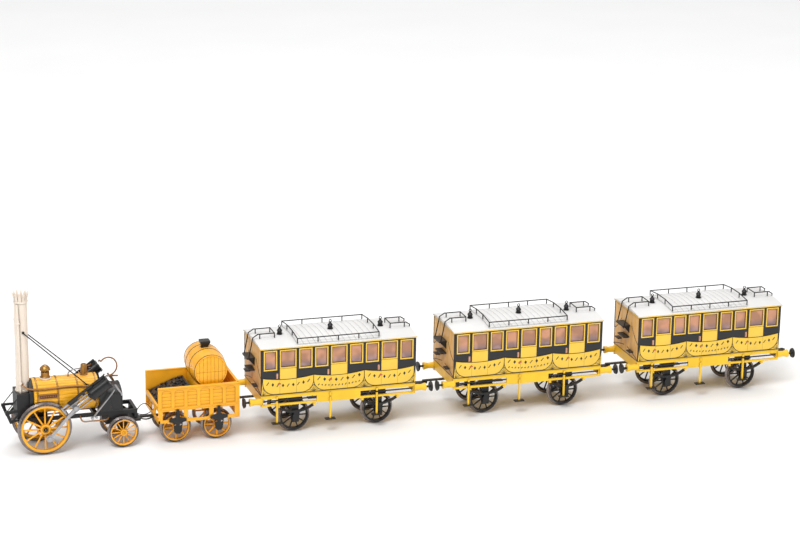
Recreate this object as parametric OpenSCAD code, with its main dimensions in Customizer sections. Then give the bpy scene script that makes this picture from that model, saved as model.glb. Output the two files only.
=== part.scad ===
// A model train: an early open-frame locomotive, its tender and three closed coaches.
// Travel is towards -X. Z is up, and z = 0 is the plane that the wheel flanges stand on.

/* [Track] */
// Distance between the rails
gauge = 16.5; // [16:0.1:19]
// Depth of a wheel flange below its tread
flange_h = 0.8; // [0.6:0.1:1]
// Width of a tyre with its flange
tyre_w = 2; // [1.6:0.1:2.4]

/* [Locomotive] */
// Driving wheel diameter on the tread
drive_d = 20; // [16:0.1:24]
// Trailing and tender wheel diameter on the tread
small_d = 11.2; // [9.4:0.1:13.4]
// Distance between the two axles
loco_wb = 31.2; // [31:0.1:38]
// Boiler diameter over its planks
boiler_d = 14; // [13.4:0.1:16.8]
// Boiler length
boiler_l = 26; // [25.6:0.1:28]
// Outer diameter of the chimney at its foot
chimney_d = 5.4; // [4.5:0.1:6.4]
// Height of the chimney from its foot to its collar
chimney_h = 36.2; // [30:0.1:43]
// Length of the firebox
firebox_l = 9.2; // [8:0.1:9.6]
// Angle of the cylinders above the horizontal
cylinder_tilt = 35.5; // [34:0.5:37]
// Throw of a crank pin
crank_throw = 3.4; // [2.9:0.1:3.5]
// Length of a connecting rod between its pins
rod_l = 15.6; // [15:0.1:16]

/* [Tender] */
// Length of the tub
tender_l = 33; // [31:0.1:39.6]
// Width of the tub
tender_w = 23.5; // [22.5:0.1:28]
// Distance between the tender's axles
tender_wb = 16.8; // [15:0.1:18]
// Diameter of the water barrel at its ends
barrel_d = 13.1; // [11:0.1:14]
// Length of the water barrel
barrel_l = 19.2; // [16:0.1:20.6]

/* [Coach] */
// Number of coaches
coaches = 3; // [3:1:3]
// Body length
coach_l = 65; // [54:0.5:78]
// Body width
coach_w = 26.4; // [25.6:0.1:31.6]
// Body height from its floor to the cornice
coach_h = 19.3; // [17:0.1:23]
// Distance between a coach's axles
coach_wb = 35.2; // [32:0.1:40]
// Coach wheel diameter on the tread
coach_wheel_d = 12.2; // [10.4:0.1:13.4]
// How far a buffer's face stands beyond the body
buffer_l = 7.2; // [6:0.1:8.6]
// Gap between the buffer faces of two coaches
buffer_gap = 2.1; // [1.8:0.1:2.5]
// Rise of the roof from its edge to its middle
roof_rise = 1.3; // [0.8:0.1:2]

/* [Fits] */
// Radial running clearance of a shaft in its hole
run = 0.05; // [0.03:0.01:0.1]
// Gap between two moving faces that never touch
gap = 0.2; // [0.1:0.05:0.3]

/* [Hidden] */
$fn = 48;
eps = 0.01;

// heights of the coach, from the rails
coach_z = 17.1;
coach_top = coach_z + coach_h;
cornice_h = 0.5;
wall = 0.8;

// wheels
back = gauge / 2 - 1;
tyre_out = back + tyre_w;
axle_r = 0.9;
journal_r = 0.5;
drive_r = drive_d / 2;
small_r = small_d / 2;
coach_wheel_r = coach_wheel_d / 2;

// locomotive, measured along X from its driving axle and up from the rails
boiler_r = boiler_d / 2;
boiler_in = boiler_r - 0.7;
boiler_x = -3.8;
boiler_end = boiler_x + boiler_l;
wheel_top = drive_d + flange_h;
boiler_over = boiler_r > back - 0.2 ? sqrt(boiler_r * boiler_r - (back - 0.2) * (back - 0.2)) : 0;
boiler_z = wheel_top + 0.7 + boiler_over;
smokebox_l = 6.5;
smokebox_x = boiler_x - smokebox_l;
smokebox_w = 10.4;
smokebox_top = boiler_z + 2.5;
saddle_l = 1.6;
flare = 0.7;
band_t = 0.12;
chimney_x = smokebox_x + smokebox_l / 2;
chimney_top = smokebox_top + chimney_h;
firebox_end = boiler_end + firebox_l;
firebox_w = 13.8;
firebox_wall = boiler_z - 0.3;
firebox_rise = 3;
firebox_arc = firebox_w * firebox_w / (8 * firebox_rise) + firebox_rise / 2;
ashpan_z = 8.3;
frame_y = 5.2;
frame_t = 0.8;
frame_z = 12.4;
frame_top = 14;
footplate_z = 9.2;
footplate_t = 1;
loco_end = loco_wb + 7.4;
drawpin_x = loco_end - 1.3;
drawpin_r = 0.7;
bracket_x = -15;
tail = loco_end + 6;

// motion: distances s run from the driving axle along the cylinder's axis
motion_y = tyre_out + 0.85;
bore_r = 1.7;
cylinder_r = 2.6;
piston_t = 1;
bore_end = 30.7;
cover_t = 0.5;
travel_out = rod_l + crank_throw;
travel_in = rod_l - crank_throw;
bore_start = bore_end - 2 * crank_throw - piston_t - 2 * gap;
left_crank = -104.3;
right_crank = left_crank + 90;
rod_y = motion_y + 0.6;
rod_t = 0.65;

// gear train
module_mm = 0.35;
axle_teeth = 16;
idler_teeth = 14;
axle_gear_r = axle_teeth * module_mm / 2;
idler_r = idler_teeth * module_mm / 2;
gear_slot = [3.3, 2.9];
tooth_h = 0.25;
worm_r = 0.8;
idler_z = drive_r + axle_gear_r + idler_r;
worm_z = idler_z + idler_r + tooth_h + worm_r + run;
gear_w = 1.6;
cheek_in = gear_w / 2 + 0.5;
cheek_t = 1;
motor_r = min(3.3, boiler_in - (boiler_z - worm_z) - gap);
motor_x = 5;

// tender, measured along X from the front of its tub
tender_x = tail;
tender_z = 8.8;
tender_top = 22.8;
tender_floor = 13.8;
tender_side = tender_w / 2;
tender_axles = [tender_l / 2 - 0.3 - tender_wb / 2, tender_l / 2 - 0.3 + tender_wb / 2];
barrel_r = barrel_d / 2;
barrel_bulge = 0.45;
barrel_z = 28.3;
hoop_t = 0.14;
barrel_x = tender_l - 10.9;
coal_end = barrel_x - barrel_r - 0.4;
drawbar_z = 8.1;
drawbar_t = 0.7;
wire_clear = 0.5;

// coaches, measured along X from the front of the body
coach_gap = buffer_l + 1.5;
coach_x = tender_x + tender_l + coach_gap;
coach_pitch = coach_l + 2 * buffer_l + buffer_gap;
coach_mid = coach_l / 2;
bay = (coach_l - 1.1) / 3;
door_w = 0.324 * bay;
side_w = 0.261 * bay;
window_top = coach_top - 0.5;
window_low = window_top - 8.4;
door_low = window_top - 7.8;
frame_bead = 0.5;
sole_top = coach_z - 0.5;
sole_low = sole_top - 4.3;
sole_y = coach_w / 2 - 0.2;
sole_t = 0.8;
coach_axles = [coach_mid - coach_wb / 2, coach_mid + coach_wb / 2];
buffer_y = coach_w / 2 - 0.7;
buffer_z = 14.6;
step_z = 4.8;
step_offset = [-4.6, -3.6, -5.2];
hook_z = 12.4;
hook_t = 0.6;
eye_r = 0.6;
hook_reach = buffer_l + buffer_gap / 2;
roof_w = coach_w + 0.9;
roof_l = coach_l + 0.9;
roof_z = coach_top + cornice_h;
roof_arc = roof_w * roof_w / (8 * roof_rise) + roof_rise / 2;
deck_l = 34.2 * coach_l / 65;
deck_w = coach_w - 2;
deck_t = 0.5;
slats = 14;
wire = 0.45;

// the whole train is centred on X = 0
train_front = bracket_x;
train_rear = coach_x + (coaches - 1) * coach_pitch + coach_l + buffer_l;
loco_x = -(train_front + train_rear) / 2;

yellow = "#f0b21e";
black = "#26262a";
cream = "#e9dcc8";
bronze = "#94703a";
copper = "#b5693a";
steel = "#9a9a9c";
white = "#ecebe8";

// ---------- placing ----------

module on_loco() translate([loco_x, 0, flange_h]) children();
module on_tender() translate([loco_x + tender_x, 0, flange_h]) children();
module on_coach(k) translate([loco_x + coach_x + (k - 1) * coach_pitch, 0, flange_h]) children();

// both sides of the train
module both_sides() {
    children();
    mirror([0, 1, 0]) children();
}

// ---------- shared shapes ----------

module along_x(r, x0, x1) translate([x0, 0, 0]) rotate([0, 90, 0]) cylinder(r = r, h = x1 - x0);

module along_y(r, y0, y1) translate([0, y0, 0]) rotate([-90, 0, 0]) cylinder(r = r, h = y1 - y0);

module block(x0, x1, y0, y1, z0, z1) translate([x0, y0, z0]) cube([x1 - x0, y1 - y0, z1 - z0]);

// a flat plate in the XZ plane between two y values
module plate(points, y0, y1) translate([0, y1, 0]) rotate([90, 0, 0])
    linear_extrude(y1 - y0) polygon(points);

module rod(p, q, d) {
    v = q - p;
    translate(p) rotate([0, acos(v[2] / norm(v)), atan2(v[1], v[0])])
        cylinder(d = d, h = norm(v), $fn = 20);
}

// a rod bent through a list of points, with a slightly larger ball at each corner
module bent_rod(points, d) {
    for (i = [0 : len(points) - 2]) rod(points[i], points[i + 1], d);
    for (i = [1 : len(points) - 2]) translate(points[i]) sphere(d = 1.15 * d, $fn = 20);
}

function unit(v) = v / norm(v);

// the direction of a line of points at point i, halfway between the stretches that meet there
function heading(points, i) = unit((i > 0 ? unit(points[i] - points[i - 1]) : [0, 0, 0])
    + (i < len(points) - 1 ? unit(points[i + 1] - points[i]) : [0, 0, 0]));

// a ring of n corners round point i, square to the line there
function ring(points, i, r, n) = let (t = heading(points, i), u = unit(cross(t, [0.1, 1, 0.3])),
    v = cross(t, u)) [for (k = [0 : n - 1]) let (a = 360 * k / n) points[i] + r * (cos(a) * u + sin(a) * v)];

// a thin pipe bent through a list of points, as one closed skin
module bent_pipe(points, d, n = 10) {
    last = len(points) - 1;
    polyhedron(points = [for (i = [0 : last]) each ring(points, i, d / 2, n)],
        faces = concat([[for (k = [0 : n - 1]) k], [for (k = [0 : n - 1]) last * n + n - 1 - k]],
            [for (i = [0 : last - 1], k = [0 : n - 1]) let (m = (k + 1) % n)
                each [[i * n + k, (i + 1) * n + m, i * n + m],
                    [i * n + k, (i + 1) * n + k, (i + 1) * n + m]]]));
}

// ---------- wheels ----------

// a tyre's section: tread outside, flange inside, turned about the axle
module tyre(r, rim_t) rotate([-90, 0, 0]) rotate_extrude($fn = 72)
    polygon([[r - rim_t, back], [r + flange_h, back], [r + flange_h, back + 0.35],
        [r, back + 0.8], [r - 0.06, tyre_out], [r - rim_t, tyre_out]]);

module wheel(r, rim_t, hub_r, spokes, spoke_w, hub_out) {
    tyre(r, rim_t);
    along_y(hub_r, back, tyre_out + hub_out);
    for (i = [0 : spokes - 1]) rotate([0, 360 * i / spokes, 0])
        block(-spoke_w / 2, spoke_w / 2, back + 0.5, tyre_out - 0.35, hub_r - 0.3, r - rim_t + 0.1);
}

// two wheels on an axle at the origin
module wheel_pair(r, rim_t, hub_r, spokes, spoke_w, hub_out, journal) {
    both_sides() wheel(r, rim_t, hub_r, spokes, spoke_w, hub_out);
    along_y(axle_r, -back - eps, back + eps);
    along_y(journal_r, -journal, journal);
}

module gear(teeth, r, width, phase) rotate([90, phase, 0]) translate([0, 0, -width / 2])
    linear_extrude(width) union() {
        circle(r = r - tooth_h - 0.1);
        for (i = [0 : teeth - 1]) rotate(360 * i / teeth)
            polygon([[r - tooth_h - 0.2, -0.3], [r + tooth_h, -0.1], [r + tooth_h, 0.1],
                [r - tooth_h - 0.2, 0.3]]);
    }

// ---------- locomotive ----------

// the main frame: two bars with horns for both axles, a footplate and the gear cheeks
module loco_frame() color(black) on_loco() difference() {
    union() {
        both_sides() {
            plate([[smokebox_x, frame_z], [smokebox_x, frame_top], [loco_end - 2.4, frame_top],
                [loco_end - 2.4, frame_z], [loco_wb + 2.4, frame_z], [loco_wb + 2, footplate_z],
                [loco_wb + 1.4, small_r - 1.4], [loco_wb - 1.4, small_r - 1.4],
                [loco_wb - 2, footplate_z], [loco_wb - 6, frame_z], [3.4, frame_z],
                [2, drive_r - 1.6], [-2, drive_r - 1.6], [-3.4, frame_z]], frame_y, frame_y + frame_t);
            block(-2, 2, cheek_in, cheek_in + cheek_t, drive_r - 1.6, idler_z + 1.1);
            block(-2, 2, cheek_in, frame_y + eps, frame_z, frame_z + 1.2);
        }
        for (x = [smokebox_x, 8, boiler_end - 2.4])
            block(x, x + 1.6, -frame_y - eps, frame_y + eps, frame_z, frame_top);
        block(loco_wb + 2.2, loco_end, -firebox_w / 2, firebox_w / 2, footplate_z,
            footplate_z + footplate_t);
        block(loco_end - 2.4, loco_end - 1.2, -frame_y - frame_t, frame_y + frame_t,
            footplate_z + footplate_t - eps, frame_top);
        translate([drawpin_x, 0, drawbar_z - 0.4])
            cylinder(r = drawpin_r, h = footplate_z - drawbar_z + 0.5);
    }
    translate([0, 0, drive_r]) along_y(axle_r + run, -frame_y - 2, frame_y + 2);
    translate([loco_wb, 0, small_r]) along_y(axle_r + run, -frame_y - 2, frame_y + 2);
    translate([0, 0, idler_z]) along_y(journal_r + run, -cheek_in - cheek_t - eps,
        cheek_in + cheek_t + eps);
}

// a three-cornered frame ahead of the smokebox on each side, with its low tie rod
module front_bracket() color(black) on_loco() {
    bar_z = frame_top + 3.4;
    both_sides() {
        plate([[bracket_x, bar_z], [smokebox_x, bar_z], [smokebox_x, bar_z - 0.8],
            [bracket_x + 1.5, bar_z - 0.8], [bracket_x + 2.5, frame_z + 0.6],
            [smokebox_x, bar_z - 1.7], [smokebox_x, bar_z - 2.6], [bracket_x + 2.9, frame_z - 0.2],
            [bracket_x + 1.7, frame_z - 0.2], [bracket_x, bar_z - 0.9]],
            smokebox_w / 2 - 0.9, smokebox_w / 2);
        rod([bracket_x + 2.3, smokebox_w / 2 - 0.45, frame_z + 0.3],
            [smokebox_x, smokebox_w / 2 - 0.45, frame_z + 0.8], 0.7);
        rod([bracket_x + 0.7, smokebox_w / 2 - 0.45, bar_z - 0.2],
            [smokebox_x, smokebox_w / 2 - 0.45, smokebox_top - 2], 0.4);
    }
    block(bracket_x + 1.8, bracket_x + 2.7, -smokebox_w / 2 + 0.5, smokebox_w / 2 - 0.5,
        frame_z + 0.1, frame_z + 0.9);
}

module boiler_core(r, x0, x1) translate([0, 0, boiler_z]) along_x(r, x0, x1);

// the planked barrel: a hollow drum, open below for the gears
module gear_opening()
    block(-gear_slot.x, gear_slot.x, -gear_slot.y, gear_slot.y, boiler_z - boiler_r - 1, boiler_z);

module boiler() color(yellow) on_loco() difference() {
    boiler_core(boiler_r, boiler_x, boiler_end);
    boiler_core(boiler_in, boiler_x + 0.6, boiler_end - 0.6);
    gear_opening();
}

module boiler_bands() color(bronze) on_loco() difference() {
    for (x = [0.05, 0.37, 0.68, 0.97]) boiler_core(boiler_r + band_t,
        boiler_x + x * (boiler_l - 0.6), boiler_x + x * (boiler_l - 0.6) + 0.5);
    boiler_core(boiler_r, boiler_x - 1, boiler_end + 1);
    gear_opening();
}

// the black box under the chimney
module smokebox() color(black) on_loco() {
    block(smokebox_x, boiler_x, -smokebox_w / 2, smokebox_w / 2, frame_top, smokebox_top);
    difference() {
        intersection() {
            boiler_core(boiler_r - 0.2, boiler_x - saddle_l, boiler_x);
            block(boiler_x - saddle_l, boiler_x, -boiler_r, boiler_r, frame_top, boiler_z + boiler_r);
        }
        translate([chimney_x, 0, smokebox_top]) chimney_outline(gap);
    }
}

// the chimney's outside, or the hole that clears it
module chimney_outline(more) {
    cylinder(d1 = chimney_d + 2 * more, d2 = chimney_d - 0.4 + 2 * more, h = chimney_h);
    cylinder(d = chimney_d + flare + 2 * more, h = flare + more);
}

module chimney() color(cream) on_loco() translate([chimney_x, 0, smokebox_top]) difference() {
    chimney_outline(0);
    translate([0, 0, 0.8]) cylinder(d = chimney_d - 1.7, h = chimney_h);
}

// the collar and its ring of points that flare outwards
module chimney_crown() color(cream) on_loco() translate([chimney_x, 0, chimney_top]) {
    crown_r = chimney_d / 2 + 0.15;
    difference() {
        cylinder(r = crown_r, h = 0.8);
        translate([0, 0, -1]) cylinder(r = crown_r - 0.8, h = 3);
    }
    for (i = [0 : 11]) rotate(i * 30) translate([crown_r - 0.65, 0, 0.6]) rotate([90, 0, 0])
        translate([0, 0, -0.5]) linear_extrude(1)
        polygon([[0, 0], [0.6, 0], [0.9, 2.4], [1.5, 4.3], [0.9, 4], [0.3, 2.4]]);
}

// the two exhaust pipes that climb the front of the chimney, with their joint balls
module exhaust_pipes() color(cream) on_loco() both_sides() {
    foot = [smokebox_x - 0.6, -smokebox_w / 2 + 1.4, frame_top + 3];
    neck = [chimney_x - 2, -chimney_d / 2 - 0.3, smokebox_top + 6];
    top = [chimney_x - 1.6, -chimney_d / 2 + 0.5, chimney_top - 0.3];
    rod(foot, neck, 0.9);
    rod(neck, top, 0.8);
    for (ball = [neck, neck + 0.7 * (top - neck)]) translate(ball) sphere(d = 1.35, $fn = 24);
}

stay_top = [chimney_x + chimney_d / 2 - 1.1, -chimney_d / 2 + 0.7, chimney_top - 11.6];
stay_y = 0.8 * boiler_r;
stay_low = [boiler_end - 2.8, -stay_y, boiler_z + sqrt(boiler_r * boiler_r - stay_y * stay_y) - 0.1];

module chimney_stays() color(black) on_loco() both_sides() {
    rod(stay_top, stay_low, 0.45);
    translate(stay_low + [0, 0, -0.2]) cylinder(d = 1, h = 0.5, $fn = 20);
}

function firebox_at(y) = firebox_wall + firebox_rise - firebox_arc
    + sqrt(firebox_arc * firebox_arc - y * y);

// the firebox: a casing with a shallow arch, over a narrower ashpan with sloping ends
module firebox() color(black) on_loco() {
    intersection() {
        translate([0, 0, firebox_at(0) - firebox_arc])
            along_x(firebox_arc, boiler_end, firebox_end);
        block(boiler_end, firebox_end, -firebox_w / 2, firebox_w / 2, frame_top,
            firebox_at(0) + 1);
    }
    plate([[boiler_end + 1, frame_top + eps], [boiler_end + 1, ashpan_z + 2],
        [boiler_end + 2.8, ashpan_z], [firebox_end - 3, ashpan_z],
        [firebox_end - 0.6, ashpan_z + 2.4], [firebox_end - 0.6, frame_top + eps]],
        -frame_y, frame_y);
}

// safety dome with its mushroom cap, and the plain standpipe behind it
module boiler_fittings() color(bronze) on_loco() difference() {
    top = boiler_z + boiler_r;
    union() {
        translate([1.9, 0, top - 0.6]) {
            cylinder(r = 2.15, h = 0.9);
            cylinder(r = 1.75, h = 2.9);
            cylinder(r = 0.95, h = 3.6);
            translate([0, 0, 3.4]) cylinder(r = 1.95, h = 0.7);
            translate([0, 0, 4.1]) intersection() {
                sphere(r = 1.95);
                translate([0, 0, 2]) cube([4, 4, 4], center = true);
            }
        }
        translate([boiler_end - 4.9, 0, top - 0.6]) cylinder(r = 1.25, h = 4.8);
    }
    boiler_core(boiler_r, boiler_x, boiler_end);
}

// copper pipes: along each side of the boiler, low under it, and a hoop behind the firebox
module steam_pipes() color(copper) on_loco() {
    pipe_y = boiler_r * 0.8 + 1;
    pipe_z = boiler_z + boiler_r * 0.6 + 0.5;
    both_sides() {
        bent_pipe([[boiler_x - 3.6, -smokebox_w / 2 + 1, smokebox_top - 0.2],
            [boiler_x - 3.4, -smokebox_w / 2 + 0.8, smokebox_top + 2.4],
            [boiler_x - 1.2, -pipe_y, pipe_z], [boiler_end - 5.5, -pipe_y, pipe_z],
            [boiler_end - 2.5, -motion_y + cylinder_r - 0.6, pipe_z - 0.6]], 0.6);
        bent_pipe([[boiler_end - 7.6, -frame_y - frame_t + 0.1, frame_z + 0.4],
            [boiler_end - 6.6, -frame_y - frame_t - 1.4, frame_z - 0.9],
            [firebox_end - 6, -frame_y - frame_t - 1.4, frame_z - 0.9],
            [firebox_end - 4.6, -frame_y - frame_t + 0.1, frame_z + 0.4]], 0.55);
    }
    hoop = [firebox_end - 3.6, 4, boiler_z + 7.4];
    hoop_r = 3.7;
    translate(hoop) rotate([90, 0, 0])
        rotate_extrude($fn = 64) translate([hoop_r, 0]) circle(d = 0.6, $fn = 16);
    rod([hoop.x, hoop.y, firebox_at(hoop.y) - 0.3], hoop - [0, 0, hoop_r], 0.6);
}

// ---------- motion ----------

// puts its children in the cylinder's own frame: X runs from the driving axle up the axis
module on_motion() on_loco() translate([0, 0, drive_r]) rotate([0, -cylinder_tilt, 0]) children();

function slide_at(a) = crank_throw * cos(a) + sqrt(pow(rod_l, 2) - pow(crank_throw * sin(a), 2));

bar_z = 1.35;
bar_start = travel_in - 2.2;
cylinder_start = bore_start - cover_t;

// a cylinder, its guide bars and the slotted carrier above them, on the left side
module cylinder_set() {
    y = -motion_y;
    translate([0, y, 0]) difference() {
        union() {
            along_x(cylinder_r, cylinder_start, bore_end + cover_t);
            along_x(1, cylinder_start - 0.7, cylinder_start + eps);
            for (z = [-bar_z - 0.5, bar_z])
                block(bar_start, cylinder_start + eps, -0.45, 0.45, z, z + 0.5);
            block(bar_start, bar_start + 0.7, -0.45, 0.45, bar_z + 0.4, bar_z + 2.4);
            difference() {
                block(bar_start, cylinder_start + 2, -0.45, 0.45, bar_z + 1.2, bar_z + 2.4);
                for (x = [bar_start + 1.6 : 2.6 : cylinder_start - 2])
                    block(x, x + 1.4, -1, 1, bar_z + 1.5, bar_z + 2.1);
            }
        }
        along_x(bore_r, bore_start, bore_end);
        along_x(journal_r + run, cylinder_start - 2, bore_start + 1);
    }
}

// the plate that carries a cylinder on the firebox's side
module cylinder_bracket() {
    mid = cylinder_start + 5.5;
    plate([[boiler_end + 0.4, frame_top + 1], [boiler_end + 5, frame_top + 1],
        [mid * cos(cylinder_tilt) + 2, drive_r + mid * sin(cylinder_tilt) + 0.5],
        [mid * cos(cylinder_tilt) - 2, drive_r + mid * sin(cylinder_tilt) - 1.5]],
        -motion_y + cylinder_r - 0.25, -firebox_w / 2);
}

module cylinder_left() color(black) {
    on_motion() cylinder_set();
    on_loco() difference() {
        cylinder_bracket();
        boiler_core(boiler_r + band_t + run, boiler_x, boiler_end + gap);
    }
}

module cylinder_right() color(black) mirror([0, 1, 0]) cylinder_left();

// piston, piston rod, crosshead and its pin, at distance s from the axle
module crosshead(s) {
    head = 1.2;
    piston = bore_start + gap + s - travel_in;
    translate([0, -motion_y, 0]) {
        block(s - head, s + head, -0.5, 0.4, -bar_z + run, bar_z - run);
        along_x(journal_r, s, piston + eps);
        along_x(bore_r - run, piston, piston + piston_t);
    }
    translate([s, 0, 0]) along_y(journal_r, -rod_y - rod_t - 0.25, -motion_y);
    translate([s, 0, 0]) along_y(0.85, -rod_y - rod_t - 0.35, -rod_y - rod_t - 0.06);
}

module crosshead_left() color(steel) on_motion() crosshead(slide_at(left_crank));
module crosshead_right() color(steel) on_motion() mirror([0, 1, 0])
    crosshead(slide_at(right_crank));

// a connecting rod with its crank pin, drawn along X from its eye
module connecting_rod(a) {
    s = slide_at(a);
    swing = asin(crank_throw * sin(a) / rod_l);
    translate([s, 0, 0]) rotate([0, swing, 0]) difference() {
        union() {
            plate([[0, 0.5], [0, -0.5], [-rod_l, -0.65], [-rod_l, 0.65]], -rod_y - rod_t, -rod_y);
            along_y(1.05, -rod_y - rod_t, -rod_y);
            translate([-rod_l, 0, 0]) along_y(1.45, -rod_y - rod_t - 0.15, -rod_y);
            translate([-rod_l, 0, 0]) along_y(0.75, -rod_y - rod_t - 0.5, -tyre_out - 0.35 - gap);
        }
        along_y(journal_r + run, -rod_y - rod_t - 1, -rod_y + 1);
    }
}

module connecting_rod_left() color(steel) on_motion() connecting_rod(left_crank);
module connecting_rod_right() color(steel) on_motion() mirror([0, 1, 0])
    connecting_rod(right_crank);

// driving wheels quartered on their axle, with the gear in the middle
module driving_wheelset() color(yellow) on_motion() {
    rotate([0, cylinder_tilt, 0]) {
        wheel_pair(drive_r, 1.3, 2, 12, 0.75, 0.35, tyre_out + 0.1);
        gear(axle_teeth, axle_gear_r, gear_w, 0);
    }
    for (side = [[-1, left_crank], [1, right_crank]])
        rotate([0, -side[1], 0]) translate([crank_throw, 0, 0])
            along_y(1.1, side[0] > 0 ? tyre_out - 0.5 : -tyre_out - 0.25,
                side[0] > 0 ? tyre_out + 0.25 : -tyre_out + 0.5);
}

module trailing_wheelset() color(yellow) on_loco() translate([loco_wb, 0, small_r])
    wheel_pair(small_r, 0.9, 1.3, 12, 0.5, 0.3, tyre_out + 0.1);

// ---------- drive ----------

module motor() color(steel) on_loco() difference() {
    union() {
        translate([0, 0, worm_z]) along_x(motor_r, motor_x, boiler_end - 3);
        intersection() {
            block(motor_x + 3, boiler_end - 5, -2.4, 2.4, boiler_z - boiler_r, worm_z);
            boiler_core(boiler_in, motor_x, boiler_end - 3);
        }
    }
    translate([0, 0, worm_z]) along_x(journal_r + run, motor_x - 1, motor_x + 4.2);
}

module worm() color(steel) on_loco() translate([0, 0, worm_z]) {
    along_x(journal_r, -2.9, motor_x + 4);
    along_x(worm_r, -2, 2);
}

module idler_gear() color(bronze) on_loco() translate([0, 0, idler_z]) {
    gear(idler_teeth, idler_r, gear_w, 0);
    along_y(journal_r, -cheek_in - cheek_t, cheek_in + cheek_t);
}

// ---------- tender ----------

posts = 4;
post_w = 1.8;
panels = 6;
rail_h = 1.3;
panel_low = tender_floor + 1.6;
panel_high = tender_top - 1.3;

// the tub: a low board in front, panelled sides over an open frame, and the barrel's cradle
module tender_body() color(yellow) on_tender() {
    window = (tender_l - posts * post_w) / (posts - 1);
    panel = (tender_l - 1.6) / panels;
    difference() {
        union() {
            both_sides() block(0, tender_l, -tender_side, -tender_side + wall, tender_z, tender_top);
            block(0, tender_l, -tender_side + wall - eps, tender_side - wall + eps,
                tender_floor, tender_floor + 0.8);
            block(0, wall, -tender_side + wall - eps, tender_side - wall + eps,
                tender_floor, tender_floor + 1.9);
            block(tender_l - wall, tender_l, -tender_side + eps, tender_side - eps,
                tender_z, tender_top);
            block(0, wall, -tender_side + eps, tender_side - eps, tender_z, tender_z + rail_h);
            both_sides() block(0, tender_l, -tender_side - 0.25, -tender_side + eps,
                tender_floor + 0.7, tender_floor + 1.3);
            both_sides() block(0, tender_l, -tender_side - 0.25, -tender_side + eps,
                tender_top - 0.7, tender_top);
        }
        for (i = [0 : posts - 2])
            block(post_w + i * (window + post_w), (i + 1) * (window + post_w),
                -tender_side - 1, tender_side + 1, tender_z + rail_h, tender_floor - 0.1);
        both_sides() for (i = [0 : panels - 1]) {
            x = 0.8 + panel * (i + 0.5);
            translate([x, -tender_side - 0.3, 0]) {
                block(-panel / 2 + 0.7, panel / 2 - 0.7, 0, 0.5, panel_low, panel_high - 1.2);
                translate([0, 0, panel_high - 1.8]) intersection() {
                    along_y(panel / 2 - 0.5, 0, 0.5);
                    block(-panel / 2 + 0.7, panel / 2 - 0.7, 0, 0.5, 0.3, 5);
                }
            }
        }
        block(tender_l - 2, tender_l + 1, -2, 2, hook_z - 1.6, tender_floor - 0.05);
    }
    difference() {
        for (x = [barrel_x - barrel_r + 1, barrel_x + barrel_r - 2])
            block(x, x + 1, -barrel_l / 2 + 1, barrel_l / 2 - 1, tender_floor + 0.7, barrel_z - 2.5);
        translate([barrel_x, 0, barrel_z])
            along_y(barrel_r + barrel_bulge + hoop_t + 2 * run, -barrel_l, barrel_l);
    }
    difference() {
        union() {
            block(tender_l - 4.5, tender_l + coach_gap - hook_reach + 1.1, -1.1, 1.1,
                hook_z - hook_t - 0.1, hook_z - 0.1);
            block(tender_l - 4.5, tender_l - 3, -1.1, 1.1, hook_z - 0.7, tender_floor + eps);
        }
        translate([tender_l + coach_gap - hook_reach, 0, 0]) cylinder(r = eye_r, h = 2 * hook_z);
    }
}

// four cast guards outside the tub, each with a blind hole for an axle's end
module tender_axleguards() color(black) on_tender() both_sides() for (x = tender_axles)
    translate([x, 0, 0]) {
        difference() {
            plate([[-0.5, tender_floor + 0.6], [0.5, tender_floor + 0.6], [0.8, 11.2], [3.5, 10.4],
                [3.5, 9.4], [1.9, 9], [1.5, small_r - 0.4], [0.8, small_r - 1.3],
                [-0.8, small_r - 1.3], [-1.5, small_r - 0.4], [-1.9, 9], [-3.5, 9.4],
                [-3.5, 10.4], [-0.8, 11.2]], -tender_side - 0.85, -tender_side - 0.25);
            for (s = [-1, 1]) translate([s * 1.1, 0, 8]) along_y(0.4, -tender_side - 2, 0);
        }
        plate([[-2.6, 10.2], [2.6, 10.2], [1.6, tender_z], [-1.6, tender_z]],
            -tender_side - 0.3, -tender_side);
        difference() {
            block(-1.1, 1.1, -tender_side - 0.3, -tender_side + 1.6, small_r - 1.1, small_r + 1.1);
            translate([0, 0, small_r]) along_y(journal_r + run, -tender_side + 0.2, 0);
        }
    }

module coal_load() color(black) on_tender()
    plate([[wall, tender_floor + 0.8], [coal_end, tender_floor + 0.8],
        [coal_end, tender_top - 1.2], [coal_end - 4, tender_top - 2.2],
        [wall, tender_floor + 1.7]], -tender_side + wall, tender_side - wall);

function barrel_at(y) = barrel_r + barrel_bulge * (1 - pow(2 * y / barrel_l, 2));

module on_barrel() on_tender() translate([barrel_x, 0, barrel_z]) rotate([-90, 0, 0]) children();

module water_barrel() color(yellow) on_barrel() rotate_extrude($fn = 96)
    polygon(concat([[0, barrel_l / 2], [0, -barrel_l / 2]],
        [for (i = [0 : 12]) let (y = barrel_l * (i / 12 - 0.5)) [barrel_at(y), y]]));

// four dark iron hoops round the barrel
module barrel_hoops() color(black) on_barrel() for (i = [-1.5 : 1 : 1.5]) {
    y = i * (barrel_l - 1) / 3;
    r = barrel_at(y) + run;
    translate([0, 0, y]) rotate_extrude($fn = 96)
        polygon([[r, -0.2], [r + hoop_t, -0.2], [r + hoop_t, 0.2], [r, 0.2]]);
}

// a square hopper on top of the barrel
module barrel_filler() color(black) on_tender() translate([barrel_x, 0, barrel_z]) {
    z = barrel_r + barrel_bulge;
    difference() {
        translate([-0.3, 0, 0]) {
            block(-1.5, 1.5, -1.5, 1.5, z - 1, z + 0.4);
            hull() {
                block(-1.1, 1.1, -1.1, 1.1, z + 0.3, z + 0.5);
                block(-2, 2, -1.9, 1.9, z + 2.4, z + 2.6);
            }
            block(-2, 2, -1.9, 1.9, z + 2.5, z + 3.1);
        }
        along_y(z + run, -4, 4);
    }
}

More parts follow.
